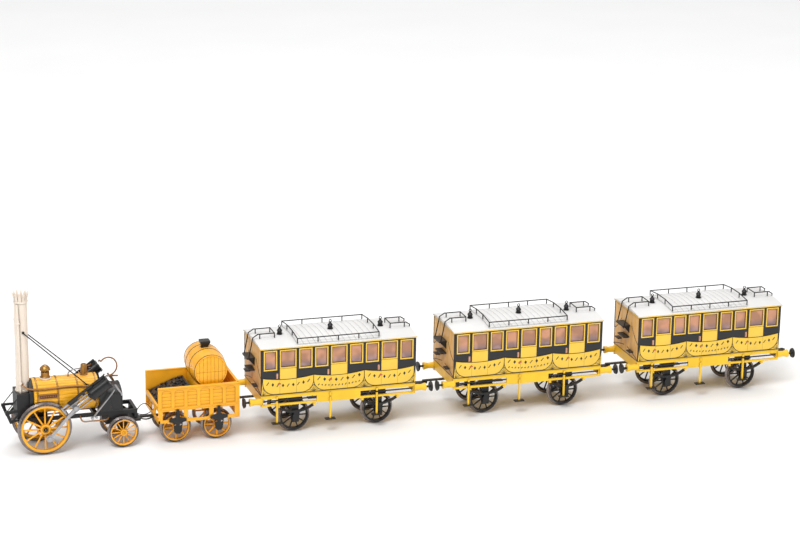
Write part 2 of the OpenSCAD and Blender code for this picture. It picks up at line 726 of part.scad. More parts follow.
module tender_wheelset_front() color(yellow) on_tender()
    translate([tender_axles[0], 0, small_r])
    wheel_pair(small_r, 0.9, 1.3, 10, 0.5, 0.3, tender_side - 0.4);

module tender_wheelset_rear() color(yellow) on_tender()
    translate([tender_axles[1], 0, small_r])
    wheel_pair(small_r, 0.9, 1.3, 10, 0.5, 0.3, tender_side - 0.4);

// a flat bar under the tub's front rail with an eye round the locomotive's pin
module tender_drawbar() color(black) on_loco() difference() {
    union() {
        block(drawpin_x, tender_x + 2.5, -0.8, 0.8, drawbar_z, drawbar_z + drawbar_t);
        translate([drawpin_x, 0, drawbar_z]) cylinder(r = 1.5, h = drawbar_t);
    }
    translate([drawpin_x, 0, 0]) cylinder(r = drawpin_r + run, h = 2 * drawbar_z);
}

// a wire that hangs (drop > 0) or arches (drop < 0) between two x values at height z
module hung_wire(x0, x1, y, z, drop, d) {
    half = (x1 - x0) / 2;
    r = (half * half + drop * drop) / (2 * abs(drop));
    turn = asin(half / r);
    translate([x0 + half, y, drop > 0 ? z + r - drop : z - r - drop]) rotate([90, 0, 0])
        rotate((drop > 0 ? -90 : 90) - turn) rotate_extrude(angle = 2 * turn, $fn = 64)
        translate([r, 0]) circle(d = d, $fn = 16);
}

// three low feed wires and one loop between the locomotive and the tub
module pickup_wires() color(black) on_loco() {
    for (y = [-3, -1.9, 2.6])
        hung_wire(loco_end + wire_clear, tender_x - 0.05, y, tender_z + 0.6, 1.4, 0.35);
    hung_wire(loco_end + wire_clear, tender_x - 0.05, 1.6, footplate_z + 0.8, -2.8, 0.35);
}

// ---------- coaches ----------

// the middle of each bay, and of the windows in it
function bay_x(i) = coach_mid + (i - 1) * bay;
side_shift = door_w / 2 + 1.1 + side_w / 2;

module window_holes(inset, y0, y1) for (i = [0 : 2]) translate([bay_x(i), 0, 0]) {
    block(-door_w / 2 + inset, door_w / 2 - inset, y0, y1, door_low + inset, window_top - inset);
    for (s = [-1, 1]) translate([s * side_shift, 0, 0])
        block(-side_w / 2 + inset, side_w / 2 - inset, y0, y1, window_low + inset,
            window_top - inset);
}

// four walls with their window frames and door panels standing a little proud
module coach_body(k) color(yellow) on_coach(k) {
    side = coach_w / 2;
    difference() {
        union() {
            difference() {
                block(0, coach_l, -side, side, coach_z, coach_top);
                block(wall, coach_l - wall, -side + wall, side - wall, coach_z - 1, coach_top + 1);
            }
            both_sides() {
                window_holes(0, -side - 0.15, -side + eps);
                for (i = [0 : 2]) translate([bay_x(i), 0, 0])
                    block(-door_w / 2, door_w / 2, -side - 0.1, -side + eps, coach_z + 6.6, door_low);
            }
        }
        window_holes(frame_bead, -side - 1, side + 1);
    }
}

module coach_interior(k) color("#6b4a32") on_coach(k) {
    inside = coach_w / 2 - wall;
    block(wall, coach_l - wall, -inside, inside, coach_z, coach_z + wall);
    for (i = [-0.5, 0.5]) block(coach_mid + i * bay - 0.3, coach_mid + i * bay + 0.3,
        -inside + 0.4, inside - 0.4, coach_z + wall - eps, coach_top - 0.4);
    for (i = [0 : 2], s = [-1, 1]) translate([bay_x(i), 0, 0]) mirror([s > 0 ? 0 : 1, 0, 0]) {
        block(bay / 2 - 5.2, bay / 2 - 0.9, -inside + 0.4, inside - 0.4, coach_z + wall - eps,
            coach_z + 6);
        block(bay / 2 - 1.7, bay / 2 - 0.9, -inside + 0.4, inside - 0.4, coach_z + wall - eps,
            coach_z + 12);
    }
}

module coach_glazing(k) color("#c9824a") on_coach(k) both_sides()
    window_holes(frame_bead, -coach_w / 2 + wall - 0.5, -coach_w / 2 + wall - 0.15);

// the cambered roof with its cornice, and the slatted deck that stands on it
module roof_camber(up) translate([0, 0, roof_z + roof_rise - roof_arc])
    along_x(roof_arc + up, -1, coach_l + 1, $fn = 360);

module coach_roof(k) color(white) on_coach(k) {
    margin = (roof_l - coach_l) / 2;
    block(-margin, coach_l + margin, -roof_w / 2, roof_w / 2, coach_top, roof_z);
    intersection() {
        roof_camber(0);
        block(-margin, coach_l + margin, -roof_w / 2, roof_w / 2, roof_z - eps, roof_z + 5);
    }
    slat = deck_l / slats;
    intersection() {
        difference() {
            roof_camber(deck_t);
            roof_camber(-0.2);
        }
        for (i = [0 : slats - 1]) translate([coach_mid - deck_l / 2 + i * slat, 0, 0])
            block(0.12, slat - 0.12, -deck_w / 2, deck_w / 2, roof_z, roof_z + 5);
    }
}

function camber_z(y) = roof_z + roof_rise - roof_arc + sqrt(roof_arc * roof_arc - y * y);

// a ventilator lamp with a ring on top
module lamp(z) translate([0, 0, z]) {
    cylinder(r = 1.15, h = 0.35);
    cylinder(r = 0.95, h = 1.7);
    translate([0, 0, 1.6]) cylinder(r1 = 1.15, r2 = 0.45, h = 1);
    translate([0, 0, 2.5]) cylinder(r = 0.45, h = 0.5);
    translate([0, 0, 3.4]) rotate([90, 0, 0]) rotate_extrude($fn = 32)
        translate([0.5, 0]) circle(d = 0.3, $fn = 16);
}

// luggage rails and lamps on the roof, with the rails that sweep down to the guard's seat
module coach_roof_fittings(k) color(black) on_coach(k) {
    y = deck_w / 2 - 0.3;
    x0 = coach_mid - deck_l / 2;
    x1 = coach_mid + deck_l / 2;
    rail = 1.95;
    deck_at = camber_z(y) + deck_t;
    mid_at = camber_z(y / 3) + deck_t;
    both_sides() {
        rod([x0, -y, deck_at + rail], [x1, -y, deck_at + rail], wire);
        for (i = [0 : 4]) rod([x0 + i * deck_l / 4, -y, deck_at + run],
            [x0 + i * deck_l / 4, -y, deck_at + rail], wire);
    }
    for (x = [x0, x1]) {
        bent_rod([[x, -y, deck_at + rail], [x, -y / 3, mid_at + rail],
            [x, y / 3, mid_at + rail], [x, y, deck_at + rail]], wire);
        for (s = [-1, 1]) {
            rod([x, s * y / 3, mid_at + run], [x, s * y / 3, mid_at + rail], wire);
            translate([x, s * y, deck_at + rail]) sphere(d = 1.15 * wire, $fn = 20);
        }
    }
    end_y = 3.6;
    end_z = camber_z(end_y);
    for (s = [-1, 1]) {
        bent_rod([[8.1, s * end_y, end_z + 0.02], [8.1, s * end_y, end_z + rail],
            [1.2, s * end_y, end_z + rail], [-0.9, s * end_y, end_z + 0.6],
            [-1.6, s * end_y, end_z - 3], [-2.6, s * end_y, coach_z + 13.3]], wire);
        rod([2, s * end_y, end_z + 0.02], [2, s * end_y, end_z + rail], wire);
        bent_rod([[coach_l - 8.1, s * end_y, end_z + 0.02],
            [coach_l - 8.1, s * end_y, end_z + rail],
            [coach_l - 1.4, s * end_y, end_z + rail], [coach_l + 0.2, s * end_y, end_z + 0.9],
            [coach_l + 0.2, s * end_y, end_z + 0.02]], wire);
        rod([coach_l - 2, s * end_y, end_z + 0.02], [coach_l - 2, s * end_y, end_z + rail], wire);
    }
    rod([8.1, -end_y, end_z + rail], [8.1, end_y, end_z + rail], wire);
    rod([coach_l - 8.1, -end_y, end_z + rail], [coach_l - 8.1, end_y, end_z + rail], wire);
    for (i = [0 : 2]) translate([bay_x(i), 0, 0])
        lamp(roof_z + roof_rise + (abs(bay_x(i) - coach_mid) < deck_l / 2 ? deck_t : 0) + 0.02);
}

// yellow underframe: floor, slotted solebars, headstocks, buffer housings and stanchions
module coach_underframe(k) color(yellow) on_coach(k) {
    block(0, coach_l, -sole_y, sole_y, sole_top, coach_z);
    both_sides() {
        difference() {
            block(0, coach_l, -sole_y, -sole_y + sole_t, sole_low, sole_top + eps);
            block(1, coach_mid - 9.2, -coach_w, 0, sole_low + 0.8, sole_top - 1.2);
            block(coach_mid + 9.2, coach_l - 1, -coach_w, 0, sole_low + 0.8, sole_top - 1.2);
        }
        for (i = [0 : 2]) translate([bay_x(i) + step_offset[i], 0, 0]) {
            block(-0.35, 0.35, -sole_y - 0.45, -sole_y + 0.25, step_z + 0.4, sole_low + 2);
            block(-0.35, 0.35, -sole_y - 0.45, -sole_y + eps, sole_top - 1.5, sole_top - 0.4);
        }
        for (x = coach_axles, s = [-1, 1]) block(x + s * 7.5 - 0.5, x + s * 7.5 + 0.5,
            -sole_y + 0.1, -sole_y + 1.6, sole_low - 1, sole_low + eps);
    }
    for (x = [0, coach_l - 1]) block(x, x + 1, -sole_y, sole_y, sole_low + 0.8, sole_top + eps);
    for (x = [0, coach_l]) translate([x, 0, buffer_z]) mirror([x > 0 ? 1 : 0, 0, 0])
        for (s = [-1, 1]) translate([0.4, s * buffer_y, 0]) rotate([0, -90, 0]) {
            cylinder(r1 = 1.45, r2 = 1.2, h = 3);
            translate([0, 0, 3 - eps]) cylinder(r1 = 1.2, r2 = 1.6, h = 1.6);
            translate([0, 0, 4.6]) cylinder(r = 1.6, h = 0.4);
        }
}

// black ironwork: springs, axleguards, steps, buffers, couplings and the guard's seat
module axleguard(x) translate([x, 0, 0]) {
    iron_y = sole_y - 2.4;
    sag = 2.5;
    half = 7.6;
    bow = (half * half + sag * sag) / (2 * sag);
    axle_z = coach_wheel_r;
    difference() {
        union() {
            plate([[-3, sole_low + 1], [3, sole_low + 1], [1.9, axle_z + 1.4], [1.6, axle_z - 2.2],
                [-1.6, axle_z - 2.2], [-1.9, axle_z + 1.4]], -iron_y, -iron_y + 0.6);
            block(-1.3, 1.3, -iron_y - 1.3, -iron_y + 0.3, axle_z - 1.4, axle_z + 1.3);
            block(-3, 3, -iron_y - 0.6, -iron_y + 1.6, sole_low + 0.9, sole_low + 1.6);
            block(-3, 3, -iron_y, -iron_y + 0.6, sole_low + 0.9, sole_top + eps);
        }
        for (s = [-1, 1]) block(s * 2 - 0.5, s * 2 + 0.5, -iron_y - 2, -iron_y + 2,
            axle_z + 2.8, sole_low - 0.6);
        translate([0, 0, axle_z]) along_y(journal_r + run, -iron_y - 0.9, 0);
    }
    translate([0, -iron_y, sole_low - 1.1 - sag + bow]) intersection() {
        difference() {
            along_y(bow + 0.4, -1.2, -0.1);
            along_y(bow - 0.4, -2, 1);
        }
        block(-half, half, -2, 1, -bow - 1, -bow + sag + 0.1);
    }
    block(-0.9, 0.9, -iron_y - 1.25, -iron_y + 0.1, axle_z + 1.2, sole_low - 3.1);
}

module coach_running_gear(k) color(black) on_coach(k) {
    both_sides() {
        for (x = coach_axles) axleguard(x);
        for (i = [0 : 2]) translate([bay_x(i) + step_offset[i], 0, 0])
            block(-2.1, 2.1, -sole_y - 1.3, -sole_y + 0.9, step_z, step_z + 0.4);
        for (s = [-1, 1]) rod([coach_mid + s * (coach_mid - 1), -sole_y + 0.4, buffer_z - 0.1],
            [coach_mid + s * 9.2, -sole_y + 0.4, buffer_z - 0.1], 0.6);
        for (x = [0, coach_l]) translate([x, -buffer_y, buffer_z]) mirror([x > 0 ? 1 : 0, 0, 0]) {
            along_x(0.45, -buffer_l + 0.5, -4.6);
            along_x(2.1, -buffer_l, -buffer_l + 0.4);
            along_x(1.8, -buffer_l + 0.4 - eps, -buffer_l + 0.8);
        }
    }
    block(coach_mid - 2.3, coach_mid + 2.3, -6, 6, sole_low - 0.4, sole_top);
    block(-hook_reach - 0.7, 1.2, -0.7, 0.7, hook_z, hook_z + hook_t);
    translate([-hook_reach, 0, hook_z - hook_t - 0.6]) cylinder(r = eye_r - run, h = hook_t + 0.7);
    block(1, 1.8, -2, 2, hook_z, sole_top);
    difference() {
        union() {
            block(coach_l - 1.2, coach_l + hook_reach, -1.1, 1.1, hook_z - hook_t - 0.1,
                hook_z - 0.1);
            translate([coach_l + hook_reach, 0, hook_z - hook_t - 0.1]) cylinder(r = 1.3, h = hook_t);
            block(coach_l - 1.8, coach_l - 1, -2, 2, hook_z - hook_t - 0.1, sole_top);
        }
        translate([coach_l + hook_reach, 0, 0]) cylinder(r = eye_r, h = 2 * hook_z);
    }
    // guard's seat, its bracket and two foot steps on the front end
    block(-3.4, 0, -3.8, 3.8, coach_z + 12.6, coach_z + 13.3);
    both_sides() plate([[0, coach_z + 12.7], [-2.8, coach_z + 12.7], [0, coach_z + 9.6]],
        -3.2, -2.6);
    block(-2.6, 0, -3.4, 3.4, coach_z + 7.6, coach_z + 8.1);
    block(-1.8, 0, 4.6, 8.2, coach_z + 4.6, coach_z + 5);
    block(-1.8, 0, -8.2, -4.6, coach_z + 2.4, coach_z + 2.8);
}

module coach_wheelset(k, x) color(black) on_coach(k) translate([x, 0, coach_wheel_r])
    wheel_pair(coach_wheel_r, 1, 1.4, 10, 0.6, 0.2, sole_y - 2.4 + 0.7);

// ---------- the parts, one node each ----------

loco_frame();
front_bracket();
boiler();
boiler_bands();
smokebox();
chimney();
chimney_crown();
exhaust_pipes();
chimney_stays();
firebox();
boiler_fittings();
steam_pipes();
cylinder_left();
cylinder_right();
crosshead_left();
crosshead_right();
connecting_rod_left();
connecting_rod_right();
driving_wheelset();
trailing_wheelset();
motor();
worm();
idler_gear();
tender_body();
tender_axleguards();
coal_load();
water_barrel();
barrel_hoops();
barrel_filler();
tender_wheelset_front();
tender_wheelset_rear();
tender_drawbar();
pickup_wires();
for (k = [1 : coaches]) {
    coach = str("coach_", k, "_");
    coach_body(k);
    coach_roof(k);
    coach_roof_fittings(k);
    coach_interior(k);
    coach_glazing(k);
    coach_underframe(k);
    coach_running_gear(k);
    coach_wheelset(k, coach_axles[0]);
    coach_wheelset(k, coach_axles[1]);
}
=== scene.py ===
"""The looks of a model train: an early open-frame locomotive, its tender and three closed coaches."""

import random
from math import cos, pi, radians, sin, sqrt

import bmesh
import bpy
from mathutils import Matrix, Vector


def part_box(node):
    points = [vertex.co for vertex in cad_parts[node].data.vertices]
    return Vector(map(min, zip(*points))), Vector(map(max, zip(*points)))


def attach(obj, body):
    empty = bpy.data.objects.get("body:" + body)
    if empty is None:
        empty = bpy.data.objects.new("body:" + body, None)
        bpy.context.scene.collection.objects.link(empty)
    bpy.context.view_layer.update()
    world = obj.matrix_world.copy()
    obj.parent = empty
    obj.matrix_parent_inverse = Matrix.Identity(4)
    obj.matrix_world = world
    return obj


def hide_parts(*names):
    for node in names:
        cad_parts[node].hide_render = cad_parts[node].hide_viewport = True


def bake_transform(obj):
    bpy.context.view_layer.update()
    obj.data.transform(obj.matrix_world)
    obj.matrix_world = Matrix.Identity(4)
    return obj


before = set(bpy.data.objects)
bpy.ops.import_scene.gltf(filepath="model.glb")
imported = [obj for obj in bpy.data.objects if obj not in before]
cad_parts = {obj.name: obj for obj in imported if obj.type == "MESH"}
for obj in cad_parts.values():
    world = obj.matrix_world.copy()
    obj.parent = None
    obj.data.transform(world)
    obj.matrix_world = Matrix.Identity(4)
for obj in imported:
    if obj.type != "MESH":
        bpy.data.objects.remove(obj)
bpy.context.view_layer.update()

bl_info = {
    "name": "Model train",
    "version": (1, 0, 0),
    "blender": (4, 5, 0),
    "location": "View3D > Sidebar > Model train",
    "description": "Dresses the frame of an early locomotive, its tender and three coaches",
    "category": "Add Mesh",
}

MM = 0.001
FLANGE = 0.8  # how far the wheel flanges reach below the top of the rails
TYRE = (7.25, 9.25)  # a tyre's inner and outer face, from the middle of the track
COACHES = (1, 2, 3)


def rails(x):
    """A vehicle's datum, in millimetres: X where its own X is 0, and Z at the top of the rails."""
    return Vector((x, 0, FLANGE))


def reach(node, datum):
    """A CAD node's lowest and highest corner in millimetres from a datum."""
    low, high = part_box(node)
    return low / MM - datum, high / MM - datum


def middle(node):
    """The X of a CAD node's middle, in millimetres."""
    low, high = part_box(node)
    return (low.x + high.x) / 2 / MM


LOCO = rails(middle("driving_wheelset"))
TENDER = rails(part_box("coal_load")[0].x / MM - 0.8)
COACH = {k: rails(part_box(f"coach_{k}_body")[0].x / MM) for k in COACHES}


# ---------- settings ----------


def linear(code):
    """The linear colour of an sRGB hex value such as F2B01E."""
    parts = [int(code[i : i + 2], 16) / 255 for i in (0, 2, 4)]
    return (*[p / 12.92 if p <= 0.04045 else ((p + 0.055) / 1.055) ** 2.4 for p in parts], 1.0)


def paint(name, description, code):
    """A colour setting."""
    return bpy.props.FloatVectorProperty(
        name=name, description=description, subtype="COLOR", size=4, min=0, max=1, default=linear(code)
    )


class TrainColours(bpy.types.PropertyGroup):
    """The colours that a user would change."""

    yellow: paint("Yellow", "Enamel of the boiler, the tender and their wheels", "F6AD1C")
    lemon: paint("Lemon", "Enamel of the coaches' lower panels and window frames", "F0C545")
    tan: paint("Tan", "Stained boards of the coaches' ends", "DDB06B")
    black: paint("Black", "Matt black of the ironwork and the coaches' upper panels", "1B1B1D")
    cream: paint("Cream", "Enamel of the chimney and its pipes", "E8DACA")
    bronze: paint("Bronze", "Cast dome, standpipe and boiler bands", "A87A3C")
    copper: paint("Copper", "Drawn pipes", "B5814F")
    nickel: paint("Nickel", "Plated rods and crossheads", "A9A9AC")
    white: paint("White", "Enamel of the coach roofs", "DDDBD9")
    amber: paint("Amber", "Upper half of the tinted glazing", "DB9C76")


class TrainSizes(bpy.types.PropertyGroup):
    """The sizes and counts that a user would change."""

    edge: bpy.props.FloatProperty(
        name="Edge", description="Rounding of a moulded edge, in millimetres", default=0.08, min=0.02, max=0.2
    )
    planks: bpy.props.IntProperty(
        name="Planks", description="Planks round the boiler", default=30, min=16, max=48
    )
    staves: bpy.props.IntProperty(
        name="Staves", description="Staves round the water barrel", default=26, min=16, max=48
    )
    groove: bpy.props.FloatProperty(
        name="Groove", description="Depth of the groove between two boards, in millimetres", default=0.12,
        min=0.04, max=0.3
    )
    lumps: bpy.props.IntProperty(
        name="Lumps", description="Lumps of coal on the heap", default=420, min=50, max=900
    )


def colours():
    """The scene's colour settings."""
    return bpy.context.scene.train_colours


def sizes():
    """The scene's size settings."""
    return bpy.context.scene.train_sizes


# ---------- meshes ----------


class Form:
    """One piece's mesh while it is made, in millimetres from its vehicle's datum."""

    def __init__(self):
        self.bm = bmesh.new()

    def take(self, mesh, matrix):
        """Adds a mesh, placed by a matrix, and removes it."""
        mesh.transform(matrix)
        self.bm.from_mesh(mesh)
        bpy.data.meshes.remove(mesh)

    def from_curve(self, curve, matrix):
        """Adds what a curve draws, with its faces outwards."""
        holder = bpy.data.objects.new("curve", curve)
        mesh = bpy.data.meshes.new_from_object(holder)
        bpy.data.objects.remove(holder)
        bpy.data.curves.remove(curve)
        skin = bmesh.new()
        skin.from_mesh(mesh)
        bmesh.ops.remove_doubles(skin, verts=skin.verts, dist=1e-4)
        skin.to_mesh(mesh)
        skin.free()
        self.take(mesh, matrix)

    def sheet(self, outline, low, high, holes=(), axis="Y", edge=None):
        """A flat sheet cut to an outline, from low to high along its axis, with rounded edges.

        Points are (X, Z) for a sheet across Y, (Y, Z) across X and (X, Y) across Z.
        """
        edge = sizes().edge if edge is None else edge
        edge = min(edge, (high - low) * 0.45)
        curve = bpy.data.curves.new("cut", "CURVE")
        curve.dimensions = "2D"
        curve.fill_mode = "BOTH"
        curve.extrude = (high - low) / 2 - edge
        curve.bevel_depth = edge
        curve.bevel_resolution = 1
        curve.offset = -edge
        for i, points in enumerate((outline, *holes)):
            turn = sum(a[0] * b[1] - b[0] * a[1] for a, b in zip(points, [*points[1:], points[0]]))
            if (turn > 0) == (i > 0):
                points = points[::-1]
            spline = curve.splines.new("POLY")
            spline.points.add(len(points) - 1)
            for spot, (u, v) in zip(spline.points, points):
                spot.co = (u, v, 0, 1)
            spline.use_cyclic_u = True
        centre = (low + high) / 2
        turned = {
            "X": Matrix(((0, 0, 1, centre), (1, 0, 0, 0), (0, 1, 0, 0), (0, 0, 0, 1))),
            "Y": Matrix(((1, 0, 0, 0), (0, 0, -1, centre), (0, 1, 0, 0), (0, 0, 0, 1))),
            "Z": Matrix.Translation((0, 0, centre)),
        }
        self.from_curve(curve, turned[axis])

    def block(self, x0, x1, y0, y1, z0, z1, edge=None):
        """A block with rounded edges."""
        edge = sizes().edge if edge is None else edge
        made = bmesh.ops.create_cube(self.bm, size=1.0)["verts"]
        size = Vector((x1 - x0, y1 - y0, z1 - z0))
        bmesh.ops.scale(self.bm, vec=size, verts=made)
        bmesh.ops.translate(self.bm, vec=Vector((x0, y0, z0)) + size / 2, verts=made)
        if edge:
            edges = list(dict.fromkeys(e for v in made for e in v.link_edges))
            bmesh.ops.bevel(self.bm, geom=edges, offset=min(edge, 0.45 * min(size)), segments=2,
                            profile=0.5, affect="EDGES", clamp_overlap=True)

    def wire(self, points, radius, smooth=False, closed=False):
        """A round wire or pipe through a list of points."""
        curve = bpy.data.curves.new("wire", "CURVE")
        curve.dimensions = "3D"
        curve.bevel_depth = radius
        curve.bevel_resolution = 3
        curve.use_fill_caps = True
        curve.resolution_u = 6
        spline = curve.splines.new("BEZIER" if smooth else "POLY")
        if smooth:
            spline.bezier_points.add(len(points) - 1)
            for spot, p in zip(spline.bezier_points, points):
                spot.co = p
                spot.handle_left_type = spot.handle_right_type = "AUTO"
        else:
            spline.points.add(len(points) - 1)
            for spot, p in zip(spline.points, points):
                spot.co = (*p, 1)
        spline.use_cyclic_u = closed
        self.from_curve(curve, Matrix())

    def turned(self, profile, axis, centre=(0, 0, 0), steps=64, wave=None, closed=False):
        """A turned form: profile is (along, radius) points, and wave(angle) scales the radius round it."""
        frames = {"X": ((0, 1, 0), (0, 0, 1), (1, 0, 0)), "Y": ((0, 0, 1), (1, 0, 0), (0, 1, 0)),
                  "Z": ((1, 0, 0), (0, 1, 0), (0, 0, 1))}
        u, v, w = (Vector(a) for a in frames[axis])
        centre = Vector(centre)
        rings = []
        for along, radius in profile:
            if radius < 1e-6:
                rings.append([self.bm.verts.new(centre + w * along)])
                continue
            ring = []
            for i in range(steps):
                a = 2 * pi * i / steps
                r = radius + (wave(a) if wave else 0)
                ring.append(self.bm.verts.new(centre + w * along + (u * cos(a) + v * sin(a)) * r))
            rings.append(ring)
        pairs = list(zip(rings, rings[1:])) + ([(rings[-1], rings[0])] if closed else [])
        for a, b in pairs:
            for i in range(steps):
                j = (i + 1) % steps
                if len(a) == 1 and len(b) > 1:
                    self.bm.faces.new((a[0], b[j], b[i]))
                elif len(b) == 1 and len(a) > 1:
                    self.bm.faces.new((a[i], a[j], b[0]))
                elif len(a) > 1:
                    self.bm.faces.new((a[i], a[j], b[j], b[i]))
        if not closed:
            for ring, back in ((rings[0], True), (rings[-1], False)):
                if len(ring) > 1:
                    self.bm.faces.new(ring[::-1] if back else ring)

    def spin(self, angle, axis="Y", centre=(0, 0, 0)):
        """Turns everything made so far."""
        bmesh.ops.rotate(self.bm, verts=self.bm.verts, cent=centre, matrix=Matrix.Rotation(angle, 3, axis))

    def mirrored(self):
        """Adds the same again on the other side of the train."""
        copy = bmesh.ops.duplicate(self.bm, geom=self.bm.verts[:] + self.bm.edges[:] + self.bm.faces[:])
        verts = [g for g in copy["geom"] if isinstance(g, bmesh.types.BMVert)]
        faces = [g for g in copy["geom"] if isinstance(g, bmesh.types.BMFace)]
        for v in verts:
            v.co.y = -v.co.y
        bmesh.ops.reverse_faces(self.bm, faces=faces)

    def make(self, name, datum, body, finish, slot, replaces=(), sharp=32):
        """The finished piece, which takes its finish and rides on its body, if it is given one."""
        bmesh.ops.recalc_face_normals(self.bm, faces=self.bm.faces)
        self.bm.transform(Matrix.Scale(MM, 4) @ Matrix.Translation(datum))
        mesh = bpy.data.meshes.new(name)
        self.bm.to_mesh(mesh)
        self.bm.free()
        mesh.shade_smooth()
        mesh.set_sharp_from_angle(angle=radians(sharp))
        piece = bpy.data.objects.new(name, mesh)
        bpy.context.scene.collection.objects.link(piece)
        mesh.materials.append(finish())
        if body:
            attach(piece, body)
        if replaces:
            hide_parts(*replaces)
        return piece


ARC_STEPS = 10  # straight pieces in an arc


def arc(centre, radii, start, end, steps=ARC_STEPS):
    """Points of an ellipse's arc, with its angles in degrees."""
    (cx, cz), (rx, rz) = centre, radii
    angles = [radians(start + (end - start) * i / steps) for i in range(steps + 1)]
    return [(cx + rx * cos(a), cz + rz * sin(a)) for a in angles]


def box_outline(x0, x1, z0, z1):
    """The corners of a rectangle."""
    return [(x0, z0), (x1, z0), (x1, z1), (x0, z1)]


def boards(count, groove, width=0.16):
    """A wave for turned(): how far the surface sinks at an angle, with a groove between each two boards."""

    def sink(angle):
        share = (angle * count / (2 * pi)) % 1.0
        from_joint = min(share, 1 - share)
        return -groove * max(0.0, 1 - from_joint / width)

    return sink


# ---------- finishes ----------


def node(tree, kind, values=(), links=()):
    """Adds a shader node, sets its properties and sockets by name, and links its sockets."""
    made = tree.nodes.new(kind)
    for key, value in dict(values).items():
        if key == "ramp":
            made.color_ramp.elements[0].position, made.color_ramp.elements[0].color = value[0]
            made.color_ramp.elements[1].position, made.color_ramp.elements[1].color = value[1]
        elif key in made.inputs:
            made.inputs[key].default_value = value
        else:
            setattr(made, key, value)
    for key, output in dict(links).items():
        tree.links.new(output, made.inputs[key])
    return made


def tone(colour, factor):
    """A colour made lighter or darker."""
    return (*[min(1.0, c * factor) for c in colour[:3]], 1.0)


def surface(name, colour, rough, patch=6.0, grain=0.3, depth=0.01, vary=0.08, dust=0.06, seam_shade=0.55,
            stretch=(1, 1, 1), fixed=()):
    """A finish: broad patches of tone, a fine grain, dust on what faces up and painted shade in the seams.

    patch is the size of a patch, grain and depth are the spacing and height of the grain, all in millimetres.
    fixed sets the shader's own sockets; the seam argument sets how far the painted shade darkens the seams.
    """
    found = bpy.data.materials.get(name)
    if found:
        return found
    material = bpy.data.materials.new(name)
    material.use_nodes = True
    tree = material.node_tree
    tree.nodes.clear()
    shader = node(tree, "ShaderNodeBsdfPrincipled", {"Roughness": rough, **dict(fixed)})
    node(tree, "ShaderNodeOutputMaterial", (), {"Surface": shader.outputs["BSDF"]})
    where = node(tree, "ShaderNodeTexCoord").outputs["Object"]
    where = node(tree, "ShaderNodeMapping", {"Scale": stretch}, {"Vector": where}).outputs["Vector"]
    patches = node(tree, "ShaderNodeTexNoise", {"Scale": 1 / (patch * MM), "Detail": 4.0}, {"Vector": where})
    fine = node(tree, "ShaderNodeTexNoise", {"Scale": 1 / (grain * MM), "Detail": 2.0}, {"Vector": where})
    tones = node(tree, "ShaderNodeValToRGB",
                 {"ramp": ((0.3, tone(colour, 1 - vary)), (0.7, tone(colour, 1 + vary)))},
                 {"Fac": patches.outputs["Fac"]})
    face = node(tree, "ShaderNodeNewGeometry")
    height = node(tree, "ShaderNodeSeparateXYZ", (), {"Vector": face.outputs["Normal"]})
    settled = node(tree, "ShaderNodeMapRange",
                   {"From Min": 0.4, "From Max": 1.0, "To Min": 0.0, "To Max": dust},
                   {"Value": height.outputs["Z"]})
    dusty = node(tree, "ShaderNodeMixRGB", {"Color2": linear("CFC8BC")},
                 {"Fac": settled.outputs["Result"], "Color1": tones.outputs["Color"]})
    # Painted shade: ambient occlusion darkens the colour in seams, grooves and hollows, where shade falls.
    occlusion_shade = node(tree, "ShaderNodeAmbientOcclusion", {"samples": 6, "Distance": 0.9 * MM})
    shade_range = node(tree, "ShaderNodeMapRange",
                {"From Min": 0.35, "From Max": 0.95, "To Min": 1 - seam_shade, "To Max": 1.0},
                {"Value": occlusion_shade.outputs["AO"]})
    shaded_colour = node(tree, "ShaderNodeMixRGB", {"blend_type": "MULTIPLY", "Fac": 1.0},
                 {"Color1": dusty.outputs["Color"], "Color2": shade_range.outputs["Result"]})
    tree.links.new(shaded_colour.outputs["Color"], shader.inputs["Base Color"])
    gloss = node(tree, "ShaderNodeMapRange", {"To Min": rough - 0.06, "To Max": rough + 0.08},
                 {"Value": patches.outputs["Fac"]})
    tree.links.new(gloss.outputs["Result"], shader.inputs["Roughness"])
    relief = node(tree, "ShaderNodeBump", {"Strength": 0.5, "Distance": depth * MM},
                  {"Height": fine.outputs["Fac"]})
    tree.links.new(relief.outputs["Normal"], shader.inputs["Normal"])
    return material


def enamelled_yellow():
    """Satin enamel sprayed on moulded polystyrene: an even warm yellow with a soft sheen."""
    return surface("Satin_enamel_on_polystyrene_yellow", colours().yellow, 0.42)


def enamelled_boards():
    """The same enamel on scribed boards: streaks along the boards, with painted shade darkening their
    grooves.
    """
    return surface("Satin_enamel_on_scribed_boards", colours().yellow, 0.24, patch=1.0, vary=0.2,
                   stretch=(0.12, 1, 1), seam_shade=0.95)


def enamelled_boards_across():
    """The boards' enamel on the barrel: smoother, faintly streaked along staves that lie across the train."""
    return surface("Satin_enamel_on_staves", colours().yellow, 0.24, patch=2.0, vary=0.08,
                   stretch=(1, 0.15, 1), seam_shade=0.6)


def enamelled_lemon():
    """Satin enamel on the coach underframes: a brighter, greener yellow than the locomotive's."""
    return surface("Satin_enamel_on_polystyrene_lemon", linear("F2C224"), 0.4)


def printed_lemon():
    """Pad-printed enamel on the coach sides: clean, smooth and a little glossier."""
    return surface("Pad_printed_enamel_lemon", colours().lemon, 0.36, vary=0.04, depth=0.004)


def stained_tan():
    """Matt stain on the coaches' end boards: dull tan, streaked up and down."""
    return surface("Matt_stain_on_boards_tan", colours().tan, 0.5, patch=2.5, vary=0.1, stretch=(1, 1, 0.15))


def matt_black():
    """Matt enamel on moulded polystyrene: soft dark grey-black that shows dust on its tops."""
    return surface("Matt_enamel_on_polystyrene_black", tone(colours().black, 0.6), 0.5, dust=0.05, vary=0.2)


